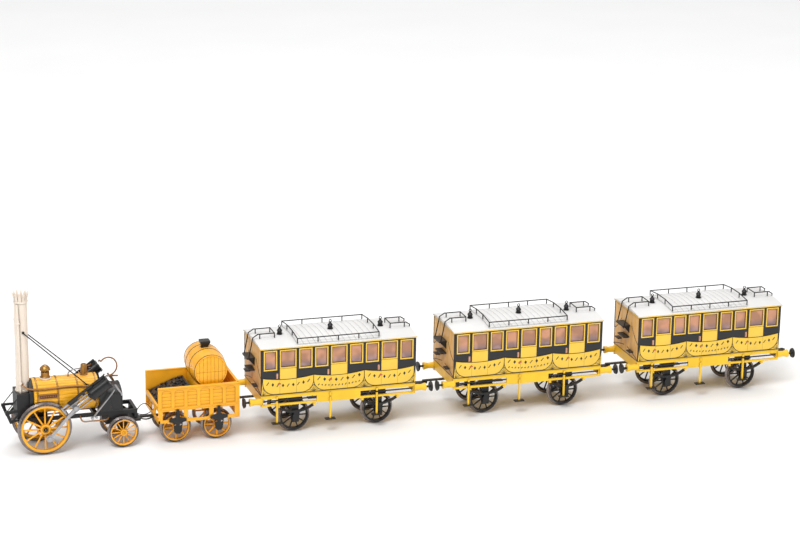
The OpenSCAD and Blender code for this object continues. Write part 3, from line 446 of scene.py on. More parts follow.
def gloss_black():
    """Satin black enamel on the cylinders and firebox: deeper and shinier than the frames."""
    return surface("Satin_enamel_on_polystyrene_black", tone(colours().black, 0.45), 0.3, dust=0.02,
                   vary=0.15)


def printed_black():
    """Pad-printed black on the coach sides, smoother than the ironwork."""
    return surface("Pad_printed_enamel_black", colours().black, 0.45, vary=0.1, depth=0.004)


def blackened_wire():
    """Drawn brass wire, chemically blackened: thin, dark, with a faint shine."""
    return surface("Blackened_drawn_wire", linear("151414"), 0.38, patch=1.5, grain=0.1, depth=0.004,
                   dust=0.02, fixed={"Metallic": 0.3})


def enamelled_cream():
    """Matt cream enamel on a turned tube: warm off-white with faint yellowing."""
    return surface("Matt_enamel_on_turned_tube_cream", colours().cream, 0.5, patch=9.0, vary=0.05,
                   stretch=(1, 1, 0.3))


def cast_bronze():
    """Turned cast bronze, lacquered: brown-gold with a soft highlight."""
    return surface("Lacquered_cast_bronze", colours().bronze, 0.34, patch=1.2, vary=0.14, grain=0.12,
                   depth=0.006, dust=0.03, fixed={"Metallic": 0.75})


def drawn_copper():
    """Drawn copper pipe, slightly oxidised: red-brown metal streaked along its length."""
    return surface("Drawn_copper_pipe", colours().copper, 0.32, patch=1.6, vary=0.18, grain=0.1,
                   depth=0.004, dust=0.02, fixed={"Metallic": 0.9})


def polished_copper():
    """Copper plate on the door handles: pale pink metal, brighter than the pipes."""
    return surface("Copper_plate_polished", linear("DDA588"), 0.35, patch=1.0, grain=0.1, depth=0.003,
                   dust=0.0, seam_shade=0.3, fixed={"Metallic": 0.45})


def plated_nickel():
    """Nickel plate on die-cast rods: grey metal, softly bright, with a sandy casting grain."""
    return surface("Nickel_plate_on_die_casting", colours().nickel, 0.36, patch=1.4, vary=0.1, grain=0.15,
                   depth=0.01, dust=0.02, fixed={"Metallic": 0.8})


def turned_tyre():
    """Turned steel tyres, thinly blackened: warm grey metal that still mirrors soft light."""
    return surface("Blackened_turned_steel", linear("8A817E"), 0.24, patch=1.0, vary=0.25, grain=0.08,
                   depth=0.004, dust=0.0, fixed={"Metallic": 0.9})


def roof_white():
    """Matt white enamel on the roofs: bright, faintly varied in tone, with painted shade greying its seams.
    """
    return surface("Matt_enamel_on_polystyrene_white", colours().white, 0.5, patch=9.0, vary=0.04, dust=0.0,
                   seam_shade=0.45)


def maroon_sash():
    """Dark maroon, printed round each pane and on the boiler's blank plates."""
    return surface("Pad_printed_enamel_maroon", linear("5A2A20"), 0.45, vary=0.1)


def red_enamel():
    """Dots of dull red enamel, faded a little towards orange."""
    return surface("Red_enamel_dot", linear("C05A44"), 0.4, vary=0.08)


def moulded_brown():
    """Seats and partitions moulded in brown polystyrene, with a leathery grain."""
    return surface("Moulded_polystyrene_brown", linear("7A4A2E"), 0.55, patch=3.0, vary=0.15, depth=0.02)


def crushed_coal():
    """Crushed coal, glued down: near black with bright facets."""
    return surface("Crushed_coal", linear("15151A"), 0.28, patch=0.8, vary=0.6, grain=0.5, depth=0.05,
                   dust=0.05)


def tinted_glazing():
    """Amber-tinted styrene glazing: glossy, half clear, greyer towards the sill, with dim shapes in it."""
    made = "Tinted_styrene_glazing" in bpy.data.materials
    material = surface("Tinted_styrene_glazing", colours().amber, 0.1, patch=4.0, vary=0.16, depth=0.001,
                       dust=0.0, seam_shade=0.2, fixed={"Alpha": 0.78, "Coat Weight": 0.6})
    if made:
        return material
    tree = material.node_tree
    shader = next(n for n in tree.nodes if n.type == "BSDF_PRINCIPLED")
    place = node(tree, "ShaderNodeTexCoord")
    up = node(tree, "ShaderNodeSeparateXYZ", (), {"Vector": place.outputs["Generated"]})
    shade = node(tree, "ShaderNodeValToRGB",
                 {"ramp": ((0.1, linear("A98A8C")), (0.5, colours().amber))},
                 {"Fac": up.outputs["Z"]})
    shapes = node(tree, "ShaderNodeTexNoise", {"Scale": 1 / (5.5 * MM), "Detail": 1.0},
                  {"Vector": place.outputs["Object"]})
    dim = node(tree, "ShaderNodeMapRange", {"From Min": 0.42, "From Max": 0.6, "To Min": 0.66, "To Max": 1.0},
               {"Value": shapes.outputs["Fac"]})
    mixed = node(tree, "ShaderNodeMixRGB", {"blend_type": "MULTIPLY", "Fac": 1.0},
                 {"Color1": shade.outputs["Color"], "Color2": dim.outputs["Result"]})
    tree.links.new(mixed.outputs["Color"], shader.inputs["Base Color"])
    return material


# ---------- wheels ----------


class WheelKind:
    """What one kind of wheel looks like, in millimetres."""

    def __init__(self, spokes, rim, face, hub, spoke, hub_out, finish, slot):
        self.spokes, self.rim, self.face, self.hub, self.spoke = spokes, rim, face, hub, spoke
        self.hub_out, self.finish, self.slot = hub_out, finish, slot


DRIVING = WheelKind(12, 1.3, 0.35, 2.0, 0.72, 0.35, enamelled_yellow, "yellow_wheel")
TRAILING = WheelKind(12, 0.8, 0.28, 1.3, 0.46, 0.3, enamelled_yellow, "yellow_wheel")
TENDER_WHEEL = WheelKind(8, 0.7, 0.2, 1.35, 0.72, 0.3, enamelled_yellow, "yellow_wheel")
COACH_WHEEL = WheelKind(10, 0.85, 0.18, 1.4, 0.56, 0.2, matt_black, "black_wheel")


def spoke(form, angle, r0, r1, width, deep, y):
    """A tapered oval spoke that flares into the hub and the rim."""
    out = Vector((cos(angle), 0, sin(angle)))
    across = Vector((-sin(angle), 0, cos(angle)))
    rings = []
    for share, wide in ((0, 1.25), (0.1, 1.05), (0.5, 0.88), (0.88, 0.85), (1, 1.15)):
        ring = []
        for i in range(10):
            a = 2 * pi * i / 10
            spot = out * (r0 + (r1 - r0) * share) + across * (cos(a) * wide * width / 2)
            ring.append(form.bm.verts.new(spot + Vector((0, y + sin(a) * deep / 2, 0))))
        rings.append(ring)
    for a, b in zip(rings, rings[1:]):
        for i in range(10):
            j = (i + 1) % 10
            form.bm.faces.new((a[i], a[j], b[j], b[i]))
    form.bm.faces.new(rings[0][::-1])
    form.bm.faces.new(rings[-1])


def wheelset(node_name, body, datum, kind):
    """Two wheels on their axle, in place of a CAD wheelset: tyres, painted centres and a plain axle."""
    low, high = reach(node_name, datum)
    centre = Vector(((low.x + high.x) / 2, 0, (low.z + high.z) / 2))
    tread = (high.z - low.z) / 2 - FLANGE
    back, out = TYRE
    place = datum + centre
    tyres = Form()
    seat = tread - kind.face
    tyres.turned([(back, seat), (back, tread + 0.7), (back + 0.1, tread + FLANGE),
                  (back + 0.3, tread + FLANGE), (back + 0.45, tread + 0.55), (back + 0.8, tread),
                  (out - 0.12, tread - 0.06), (out, tread - 0.12), (out, seat)], "Y", steps=96, closed=True)
    tyres.mirrored()
    tyres.make(f"{node_name}_tyres", place, body, turned_tyre, kind.slot)
    centres = Form()
    inner = tread - kind.rim
    centres.turned([(back + 0.2, inner), (back + 0.2, seat + 0.02), (out - 0.2, seat + 0.02),
                    (out - 0.06, seat - 0.06), (out - 0.06, inner + 0.14), (out - 0.2, inner)], "Y",
                   steps=96, closed=True)
    for i in range(kind.spokes):
        spoke(centres, 2 * pi * i / kind.spokes, kind.hub - 0.25, inner + 0.12, kind.spoke, 1.0,
              (back + out) / 2 + 0.1)
    nose = out + kind.hub_out
    centres.turned([(back + 0.02, 0), (back + 0.02, kind.hub - 0.2), (back + 0.2, kind.hub),
                    (nose - 0.25, kind.hub), (nose - 0.08, kind.hub - 0.12), (nose - 0.08, kind.hub * 0.68),
                    (nose - 0.2, kind.hub * 0.62), (nose - 0.2, kind.hub * 0.5), (nose, kind.hub * 0.42),
                    (nose, 0)], "Y", steps=40)
    centres.mirrored()
    centres.make(f"{node_name}_centres", place, body, kind.finish, kind.slot, [node_name])
    axle = Form()
    end = high.y
    axle.turned([(-end, 0), (-end, 0.4), (-end + 0.1, 0.5), (-back, 0.5), (-back, 0.9), (-0.9, 0.9),
                 (-0.9, 1.05), (0.9, 1.05), (0.9, 0.9), (back, 0.9), (back, 0.5), (end - 0.1, 0.5),
                 (end, 0.4), (end, 0)], "Y", steps=24)
    axle.make(f"{node_name}_axle", place, body, turned_tyre, kind.slot)
    return place


# ---------- locomotive ----------

DRIVE_RADIUS = 10.0
CRANK_THROW = 3.4
CYLINDER_TILT = radians(35.5)
CYLINDER_Y = 10.1
BAR_START = 10.0
CRANK_ANGLE = {-1: radians(-68.8), 1: radians(21.2)}
AXLE_TEETH = 16
TOOTH = 0.35


def crank_bosses(place):
    """The boss that a crank pin runs against, on each driving wheel, and the hub's dull cap."""
    bosses = Form()
    for side, angle in CRANK_ANGLE.items():
        spot = (CRANK_THROW * cos(angle), 0, CRANK_THROW * sin(angle))
        face = side * (TYRE[1] + 0.25)
        bosses.turned([(side * (TYRE[1] - 0.6), 0), (side * (TYRE[1] - 0.6), 1.1), (face, 1.05), (face, 0)],
                      "Y", spot, 28)
    bosses.make("driving_wheelset_bosses", place, "driving_wheels", enamelled_yellow, "yellow_wheel")
    caps = Form()
    face = TYRE[1] + 0.35
    caps.turned([(face - 0.2, 0), (face - 0.2, 1.3), (face - 0.02, 1.25), (face, 1.1), (face, 0)], "Y",
                steps=32)
    caps.mirrored()
    caps.make("driving_wheelset_caps", place, "driving_wheels", cast_bronze, "bronze")


def axle_gear(place):
    """The gear in the middle of the driving axle."""
    gear = Form()
    tip = AXLE_TEETH * TOOTH / 2 + 0.25
    outline = []
    for i in range(AXLE_TEETH):
        for share, r in ((-0.32, tip - 0.55), (-0.12, tip), (0.12, tip), (0.32, tip - 0.55)):
            a = 2 * pi * (i + share) / AXLE_TEETH
            outline.append((r * cos(a), r * sin(a)))
    gear.sheet(outline, -0.8, 0.8, edge=0.03)
    gear.make("driving_wheelset_gear", place, "driving_wheels", cast_bronze, "bronze")


def boiler_barrel():
    """The boiler's planked skin, with a blank plate on each side."""
    low, high = reach("boiler", LOCO)
    r = (high.z - low.z) / 2
    z = (high.z + low.z) / 2
    count = sizes().planks
    skin = Form()
    skin.turned([(low.x, 0), (low.x, r - 0.3), (low.x + 0.15, r), (high.x - 0.15, r), (high.x, r - 0.3),
                 (high.x, 0)], "X", (0, 0, z), count * 8, boards(count, sizes().groove))
    skin.make("boiler_planks", LOCO, "loco", enamelled_boards, "yellow_planks", ["boiler"], sharp=24)
    plate = Form()
    x0, x1, z0, z1 = low.x + 2, low.x + 9.3, z + 0.4, z + 2.2
    field = box_outline(x0, x1, z0, z1)
    plate.sheet(field, -r - 0.02, -r + 0.5, edge=0.03)
    plate.mirrored()
    plate.make("boiler_plate_fields", LOCO, "loco", maroon_sash, "bronze")
    border = Form()
    border.sheet(field, -r - 0.12, -r + 0.02, [box_outline(x0 + 0.25, x1 - 0.25, z0 + 0.25, z1 - 0.25)],
                 edge=0.04)
    for i in range(7):
        x = x0 + 0.95 + i * 0.9
        border.block(x - 0.22, x + 0.22, -r - 0.1, -r + 0.02, (z0 + z1) / 2 - 0.2, (z0 + z1) / 2 + 0.2, 0.08)
    border.mirrored()
    border.make("boiler_plate_borders", LOCO, "loco", cast_bronze, "bronze")


def boiler_mountings():
    """Mushroom dome on its pale washer, standpipe and the small plated pipe between them."""
    top = reach("boiler", LOCO)[1].z
    low, high = reach("boiler_fittings", LOCO)
    dome_x = low.x + 2.15
    pipe_x = high.x - 1.25
    brass = Form()
    brass.turned([(-0.8, 0), (-0.8, 2.05), (0.25, 2.05), (0.4, 1.95), (0.55, 1.72), (2.2, 1.72),
                  (2.4, 1.55), (2.5, 0.95), (2.95, 0.9), (3.0, 1.95), (3.15, 2.15), (3.5, 2.1), (4.1, 1.82),
                  (4.6, 1.42), (5.0, 0.9), (5.2, 0.42), (5.25, 0)], "Z", (dome_x, 0, top))
    brass.turned([(-0.8, 0), (-0.8, 1.5), (0.15, 1.5), (0.3, 1.25), (3.85, 1.25), (4.05, 1.2), (4.2, 1.05),
                  (4.2, 0.6), (3.7, 0.55), (3.7, 0)], "Z", (pipe_x, 0, top))
    brass.make("dome_and_standpipe", LOCO, "loco", cast_bronze, "bronze", ["boiler_fittings"])
    washer = Form()
    washer.turned([(-0.9, 0), (-0.9, 2.5), (0.0, 2.5), (0.12, 2.35), (0.12, 0)], "Z", (dome_x, 0, top))
    washer.make("dome_washer", LOCO, "loco", enamelled_cream, "cream_paint")
    link = Form()
    link.wire([(pipe_x - 6.4, -0.6, top - 0.2), (pipe_x - 6.2, -0.6, top + 1.3),
               (pipe_x - 4.6, -0.3, top + 2.2), (pipe_x - 1.0, 0, top + 2.6)], 0.28, smooth=True)
    link.make("steam_link", LOCO, "loco", plated_nickel, "steel")


def chimney_tube():
    """The tall chimney with its foot moulding, and a crown of leaves that flare outwards."""
    low, high = reach("chimney", LOCO)
    x = (low.x + high.x) / 2
    foot = (high.x - low.x) / 2 - 0.35
    tall = high.z - low.z
    tube = Form()
    tube.turned([(0, foot + 0.35), (0.45, foot + 0.35), (0.7, foot + 0.18), (0.8, foot),
                 (tall * 0.5, foot - 0.1), (tall, foot - 0.2), (tall, foot - 0.85), (tall - 6, foot - 0.85),
                 (tall - 6, 0)], "Z", (x, 0, low.z))
    tube.make("chimney_tube", LOCO, "loco", enamelled_cream, "cream_paint", ["chimney"])
    crown = Form()
    crown.turned([(-0.1, foot - 0.3), (-0.1, foot), (0.05, foot + 0.15), (0.6, foot + 0.15),
                  (0.75, foot), (0.75, foot - 0.55), (0.3, foot - 0.6)], "Z", (x, 0, high.z), closed=True)
    leaves = 12
    for i in range(leaves):
        a = 2 * pi * (i + 0.5) / leaves
        out = Vector((cos(a), sin(a), 0))
        side = Vector((-sin(a), cos(a), 0))
        rings = []
        for up, lean, wide in ((0.5, -0.25, 0.62), (1.6, -0.2, 0.6), (2.6, 0.05, 0.5), (3.5, 0.4, 0.34),
                               (4.25, 0.8, 0.06)):
            mid = Vector((x, 0, high.z + up)) + out * (foot + lean)
            thick = 0.2 if up < 4 else 0.06
            rings.append([crown.bm.verts.new(mid + side * s * wide + out * t * thick)
                          for s, t in ((-1, -1), (1, -1), (1, 1), (-1, 1))])
        for a_ring, b_ring in zip(rings, rings[1:]):
            for j in range(4):
                crown.bm.faces.new((a_ring[j], a_ring[j - 3], b_ring[j - 3], b_ring[j]))
        crown.bm.faces.new(rings[0][::-1])
        crown.bm.faces.new(rings[-1])
    crown.make("chimney_leaves", LOCO, "loco", enamelled_cream, "cream_paint", ["chimney_crown"])


def copper_work():
    """Copper pipes along the boiler and under it, and the hoop and stub behind."""
    boiler = reach("boiler", LOCO)
    firebox = reach("firebox", LOCO)
    end = boiler[1].x
    axis = (boiler[0].z + boiler[1].z) / 2
    pipe_z = axis + 4.45
    pipes = Form()
    pipes.wire([(boiler[0].x - 3.6, -3.4, pipe_z + 1.6), (boiler[0].x - 3.9, -4.6, pipe_z + 1.5),
                (boiler[0].x - 2.6, -5.6, pipe_z + 0.5), (boiler[0].x - 0.4, -6.2, pipe_z),
                (end - 9, -6.3, pipe_z - 0.1), (end - 4.4, -6.9, pipe_z - 0.35)], 0.33, smooth=True)
    pipes.wire([(end - 7.8, -5.9, 13.2), (end - 7.3, -7.2, 11.6), (end - 6.6, -7.3, 11.15),
                (end - 4.4, -7.35, 11.1), (firebox[1].x - 8.2, -7.4, 11.1), (firebox[1].x - 6.6, -7.3, 11.25),
                (firebox[1].x - 5.8, -6.6, 11.7)], 0.3, smooth=True)
    pipes.mirrored()
    x, z = firebox[1].x - 3.5, 29.4
    hoop = [(x + 3.55 * cos(a), 4, z + 3.75 * sin(a)) for a in [radians(-80 + 11 * i) for i in range(21)]]
    pipes.wire([*hoop, (x - 3.1, 5.6, z + 2.3), (x - 3.0, 7.6, z + 1.3)], 0.3, smooth=True)
    pipes.wire([(x - 1.0, 4, 25.5), (x + 1.6, 4, 25.35), (x + 3.9, 4, 25.2)], 0.34)
    pipes.wire([hoop[0], (x + 1.0, 4, 25.3), (x + 2.2, 4, 23.2)], 0.34, smooth=True)
    pipes.make("copper_pipes", LOCO, "loco", drawn_copper, "copper", ["steam_pipes"])
    valves = Form()
    rough = random.Random(4)
    for i in range(22):
        along = 22.6 + 6.4 * i / 21
        spot = on_cylinder(along, 9.0 + rough.uniform(-0.7, 1.9), 2.6 + rough.uniform(-0.3, 0.9))
        lean = Vector((rough.uniform(-1, 1), rough.uniform(-0.9, 0.9), rough.uniform(-0.5, 1)))
        valves.wire([spot, spot + lean.normalized() * rough.uniform(0.6, 1.3)], 0.22)
    valves.make("far_valve_gear", LOCO, "loco", drawn_copper, "copper")
    levers = Form()
    levers.wire([(27.5, -9.9, 24.3), (26.4, -9.9, 22.6), (18.7, -9.5, 13.0)], 0.32)
    levers.turned([(-0.45, 0), (-0.45, 0.55), (0.45, 0.55), (0.45, 0)], "Y", (18.6, -9.4, 12.9), 20)
    levers.turned([(-0.6, 0), (-0.6, 0.5), (0.6, 0.5), (0.6, 0)], "Y", (20.6, -7.4, 12.6), 20)
    levers.wire([(28.3, -7.3, 25.4), (29.6, -7.3, 23.3), (31.0, -7.3, 21.4)], 0.42)
    levers.block(30.6, 31.3, -7.6, -6.8, 20.7, 21.6, 0.1)
    levers.mirrored()
    levers.make("regulator_levers", LOCO, "loco", plated_nickel, "steel")


def on_cylinder(along, y, up):
    """A point given along the near or far cylinder's axis and above it, in the locomotive's place."""
    return Vector((along * cos(CYLINDER_TILT) - up * sin(CYLINDER_TILT), y,
                   DRIVE_RADIUS + along * sin(CYLINDER_TILT) + up * cos(CYLINDER_TILT)))


def cylinders():
    """Hollow cylinders with their covers, slotted carriers and bright guide bars, on both sides."""
    z = DRIVE_RADIUS
    centre = (0, -CYLINDER_Y, z)
    barrel = Form()
    barrel.turned([(22.0, 0.68), (22.0, 2.72), (22.15, 2.8), (22.5, 2.8), (22.65, 2.5), (30.3, 2.5),
                   (30.45, 2.8), (30.85, 2.8), (30.95, 2.7), (30.95, 1.74), (22.55, 1.74), (22.55, 0.68)],
                  "X", centre, closed=True)
    barrel.turned([(21.3, 0.62), (21.3, 0.95), (21.4, 1.05), (22.1, 1.05), (22.1, 0.62)], "X", centre, 40,
                  closed=True)
    barrel.turned([(30.9, 0), (30.9, 2.7), (31.1, 2.6), (31.2, 2.3), (31.2, 0)], "X", centre)
    for i in range(8):
        a = 2 * pi * (i + 0.5) / 8
        for s0, s1 in ((21.85, 22.05), (31.1, 31.32)):
            barrel.turned([(s0, 0), (s0, 0.22), (s1, 0.22), (s1, 0)], "X",
                          (0, -CYLINDER_Y + 2.2 * cos(a), z + 2.2 * sin(a)), 6)
    notch = [(13.3, z + 2.05), (17.2, z + 2.05), (17.5, z + 2.55), (19.6, z + 2.55), (19.9, z + 2.05),
             (20.7, z + 2.05), (21.0, z + 2.6), (22.9, z + 2.6), (23.4, z + 2.1), (31.0, z + 2.1)]
    window = [(25.6, z + 2.65), (28.9, z + 2.65), (29.2, z + 3.1), (25.9, z + 3.1)]
    barrel.sheet([*notch, (31.1, z + 3.55), (13.0, z + 3.6)], -CYLINDER_Y - 0.5, -CYLINDER_Y + 0.5, [window],
                 edge=0.1)
    barrel.block(24.6, 30.6, -CYLINDER_Y - 1.2, -CYLINDER_Y + 1.3, z + 1.9, z + 2.75, 0.15)
    barrel.spin(-CYLINDER_TILT, "Y", (0, 0, z))
    bracket_plate(barrel)
    barrel.mirrored()
    barrel.make("cylinder_castings", LOCO, "loco", gloss_black, "black_plastic",
                ["cylinder_left", "cylinder_right"])
    bars = Form()
    for low in (-1.85, 1.35):
        bars.block(BAR_START, 22.05, -CYLINDER_Y - 0.45, -CYLINDER_Y + 0.45, z + low, z + low + 0.5, 0.1)
    bars.block(BAR_START - 0.3, BAR_START + 0.4, -CYLINDER_Y - 0.5, -CYLINDER_Y + 0.5, z - 1.95, z + 3.4,
               0.12)
    bars.block(BAR_START, 13.4, -CYLINDER_Y - 0.4, -CYLINDER_Y + 0.4, z + 2.5, z + 3.3, 0.1)
    bars.spin(-CYLINDER_TILT, "Y", (0, 0, z))
    bars.mirrored()
    bars.make("guide_bars", LOCO, "loco", plated_nickel, "steel")


def bracket_plate(plate):
    """Adds the plate that carries the near cylinder on the firebox."""
    end = reach("boiler", LOCO)[1].x
    inner = -reach("firebox", LOCO)[1].y
    mid = 27.5
    x, z = mid * cos(CYLINDER_TILT), mid * sin(CYLINDER_TILT)
    plate.sheet([(end + 0.4, 15), (end + 5, 15), (x + 2, 10.5 + z), (x - 1.2, 8.5 + z)],
                -CYLINDER_Y + 2.35, inner, edge=0.06)


def firebox_casing():
    """The firebox: an arched casing with a flange at each end and a beading, over its ashpan."""
    low, high = reach("firebox", LOCO)
    half = high.y
    wall = high.z - 3
    radius = half * half / 6 + 1.5

    def arch(inset):
        top = []
        for i in range(21):
            y = half * (1 - i / 10)
            top.append((y * (1 - inset / half), high.z - radius + sqrt(radius * radius - y * y) - inset))
        return [(-half + inset, 14.0 + inset), (half - inset, 14.0 + inset), *top]

    casing = Form()
    casing.sheet(arch(0.14), low.x + 0.1, high.x - 0.1, axis="X", edge=0.05)
    for x in (low.x, high.x - 0.55):
        casing.sheet(arch(0), x, x + 0.55, axis="X", edge=0.12)
    for side in (-1, 1):
        casing.block(low.x + 0.5, high.x - 0.3, side * half - 0.12, side * half + 0.12, wall - 0.25,
                     wall + 0.15, 0.08)
        for i in range(8):
            x = low.x + 1.2 + i * (high.x - low.x - 2.4) / 7
            casing.turned([(-0.1, 0), (-0.1, 0.2), (0.08, 0.2), (0.14, 0.12), (0.14, 0)] if side > 0 else
                          [(0.1, 0), (0.1, 0.2), (-0.08, 0.2), (-0.14, 0.12), (-0.14, 0)],
                          "Y", (x, side * (half - 0.05), 14.8), 12)
    casing.sheet([(low.x + 1, 14.1), (low.x + 1, low.z + 2), (low.x + 2.8, low.z), (high.x - 3, low.z),
                  (high.x - 0.6, low.z + 2.4), (high.x - 0.6, 14.1)], -5.2, 5.2, edge=0.12)
    casing.make("firebox_casing", LOCO, "loco", gloss_black, "black_plastic", ["firebox"])


def stays_and_exhaust():
    """The two thin stays from the chimney to the boiler, and the exhaust pipes up the chimney's front."""
    boiler = reach("boiler", LOCO)
    chimney = reach("chimney", LOCO)
    x = (chimney[0].x + chimney[1].x) / 2
    stays = Form()
    for side in (-1, 1):
        stays.wire([(x + 0.3, side * 2.35, 48.4), (x + 0.4, side * 2.9, 48.2),
                    (boiler[1].x - 4.4, side * 6.0, 25.6)], 0.23)
        stays.turned([(-0.3, 0), (-0.3, 0.5), (0.2, 0.5), (0.3, 0.35), (0.3, 0)], "Y",
                     (x + 0.3, side * 2.6, 48.4), 16)
        stays.turned([(-0.4, 0), (-0.4, 0.55), (0.3, 0.5), (0.3, 0)], "Z",
                     (boiler[1].x - 4.5, side * 5.6, 25.6), 16)
    stays.make("chimney_wires", LOCO, "loco", blackened_wire, "dark_wire", ["chimney_stays"])
    pipes = Form()
    for side in (-1, 1):
        foot = (x - 1.5, side * 3.3, 17.0)
        neck = (x - 1.5, side * 3.5, 27.9)
        ball = (x - 1.75, side * 3.0, 52.4)
        top = (x - 1.8, side * 2.1, chimney[1].z - 0.2)
        pipes.wire([foot, neck], 0.42)
        pipes.wire([neck, ball], 0.52)
        pipes.wire([ball, top], 0.5)
        for spot in (neck, ball):
            pipes.turned([(-0.8, 0), (-0.75, 0.35), (-0.4, 0.72), (0, 0.82), (0.4, 0.72), (0.75, 0.35),
                          (0.8, 0)], "Z", spot, 24)
        pipes.wire([foot, (x - 0.4, side * 3.2, 16.2)], 0.45)
    pipes.make("exhaust_tubes", LOCO, "loco", enamelled_cream, "cream_paint", ["exhaust_pipes"])
    unions = Form()
    for side in (-1, 1):
        unions.turned([(-1.2, 0), (-1.2, 0.75), (1.0, 0.75), (1.2, 0.5), (1.2, 0)], "Z",
                      (x - 1.5, side * 3.3, 17.2), 6)
    unions.make("exhaust_unions", LOCO, "loco", drawn_copper, "copper")


# ---------- tender ----------

TUB_LENGTH = 33.0
PANELS = 6
POSTS = 4
POST_WIDTH = 1.8
RAIL = 1.3
FRAME_BULGE = 0.45  # how much wider the frame's barrel is in the middle than at its ends
BARREL_BULGE = 0.95


def tender_sides(low, high):
    """One framed side: arched panels over an open lower frame, sills under the panels and a top rail."""
    side = low.y + 0.25
    floor = 13.8
    window = (TUB_LENGTH - POSTS * POST_WIDTH) / (POSTS - 1)
    panel = (TUB_LENGTH - 1.6) / PANELS
    holes = []
    for i in range(POSTS - 1):
        x = POST_WIDTH + i * (window + POST_WIDTH)
        holes.append(box_outline(x, x + window, low.z + RAIL, floor - 0.15))
    half = panel / 2 - 0.68
    middles = [0.8 + panel * (i + 0.5) for i in range(PANELS)]
    for x in middles:
        holes.append([(x - half, floor + 1.6), (x + half, floor + 1.6),
                      *arc((x, high.z - 2.3), (half, 1.05), 0, 180, 10)])
    wall = Form()
    wall.sheet(box_outline(0, TUB_LENGTH, low.z, high.z - 0.3), side, side + 0.5, holes, edge=0.12)
    wall.sheet(box_outline(0, TUB_LENGTH, floor, high.z - 0.3), side + 0.62, side + 0.8, edge=0.03)
    rows = 5
    step = (high.z - 1 - floor - 1.4) / rows
    for i in range(rows):
        z = floor + 1.4 + i * step
        wall.block(0.4, TUB_LENGTH - 0.4, side + 0.3, side + 0.66, z + 0.03, z + step - 0.03, 0.07)
    for x in middles:
        wall.sheet([(x - half - 0.35, floor + 0.65), (x + half + 0.35, floor + 0.65),
                    *arc((x, floor + 1.05), (half + 0.35, 0.32), 0, 180, 8)],
                   side - 0.26, side + 0.1, edge=0.12)
    wall.block(-0.05, TUB_LENGTH + 0.05, side - 0.25, side + 0.85, high.z - 0.7, high.z, 0.14)
    wall.mirrored()
    wall.make("tender_sides", TENDER, "tender", enamelled_yellow, "yellow_paint", ["tender_body"])
    return side, floor


def tender_tub():
    """The tub between its sides: floor, front board, planked rear wall, barrel cradle and coupling bar."""
    low, high = reach("tender_body", TENDER)
    side, floor = tender_sides(low, high)
    inside = -side - 0.75
    tub = Form()
    tub.block(0.1, TUB_LENGTH - 0.1, -inside, inside, floor, floor + 0.8, 0.05)
    tub.block(0, 0.8, -inside, inside, floor, floor + 1.9, 0.12)
    tub.block(0, 0.8, side, -side, low.z, low.z + RAIL, 0.12)
    for y in (-1, 1):
        tub.block(0, 0.9, y * 3.2 - 0.5, y * 3.2 + 0.5, low.z + 1, floor + 0.1, 0.1)
    boards_up = 9
    step = (high.z - 0.5 - low.z) / boards_up
    for i in range(boards_up):
        tub.block(TUB_LENGTH - 0.8, TUB_LENGTH, side + 0.3, -side - 0.3, low.z + i * step + 0.03,
                  low.z + (i + 1) * step - 0.03, 0.07)
    for y in (side + 0.5, -side - 0.5, 0):
        tub.block(TUB_LENGTH - 0.4, TUB_LENGTH + 0.25, y - 0.6, y + 0.6, low.z, high.z - 0.4, 0.12)
    tub.block(TUB_LENGTH - 0.9, TUB_LENGTH + 0.25, side, -side, high.z - 0.7, high.z, 0.14)
    barrel = reach("water_barrel", TENDER)
    centre = (barrel[0].x + barrel[1].x) / 2
    half = barrel[1].y - 1
    for x in (centre - 5.55, centre + 4.55):
        tub.block(x, x + 1, -half, half, floor + 0.6, floor + 9.2, 0.08)
    bar_z = (11.7, 12.3)
    eye_x = high.x - 1.1
    hole = arc((eye_x, 0), (0.6, 0.6), 0, 345, 23)
    tub.sheet([(TUB_LENGTH - 4.5, -1.1), (high.x, -1.1), (high.x, 1.1), (TUB_LENGTH - 4.5, 1.1)],
              *bar_z, [hole], "Z")
    tub.block(TUB_LENGTH - 4.5, TUB_LENGTH - 3, -1.1, 1.1, bar_z[0], floor + 0.1)
    tub.make("tender_tub", TENDER, "tender", enamelled_yellow, "yellow_paint")


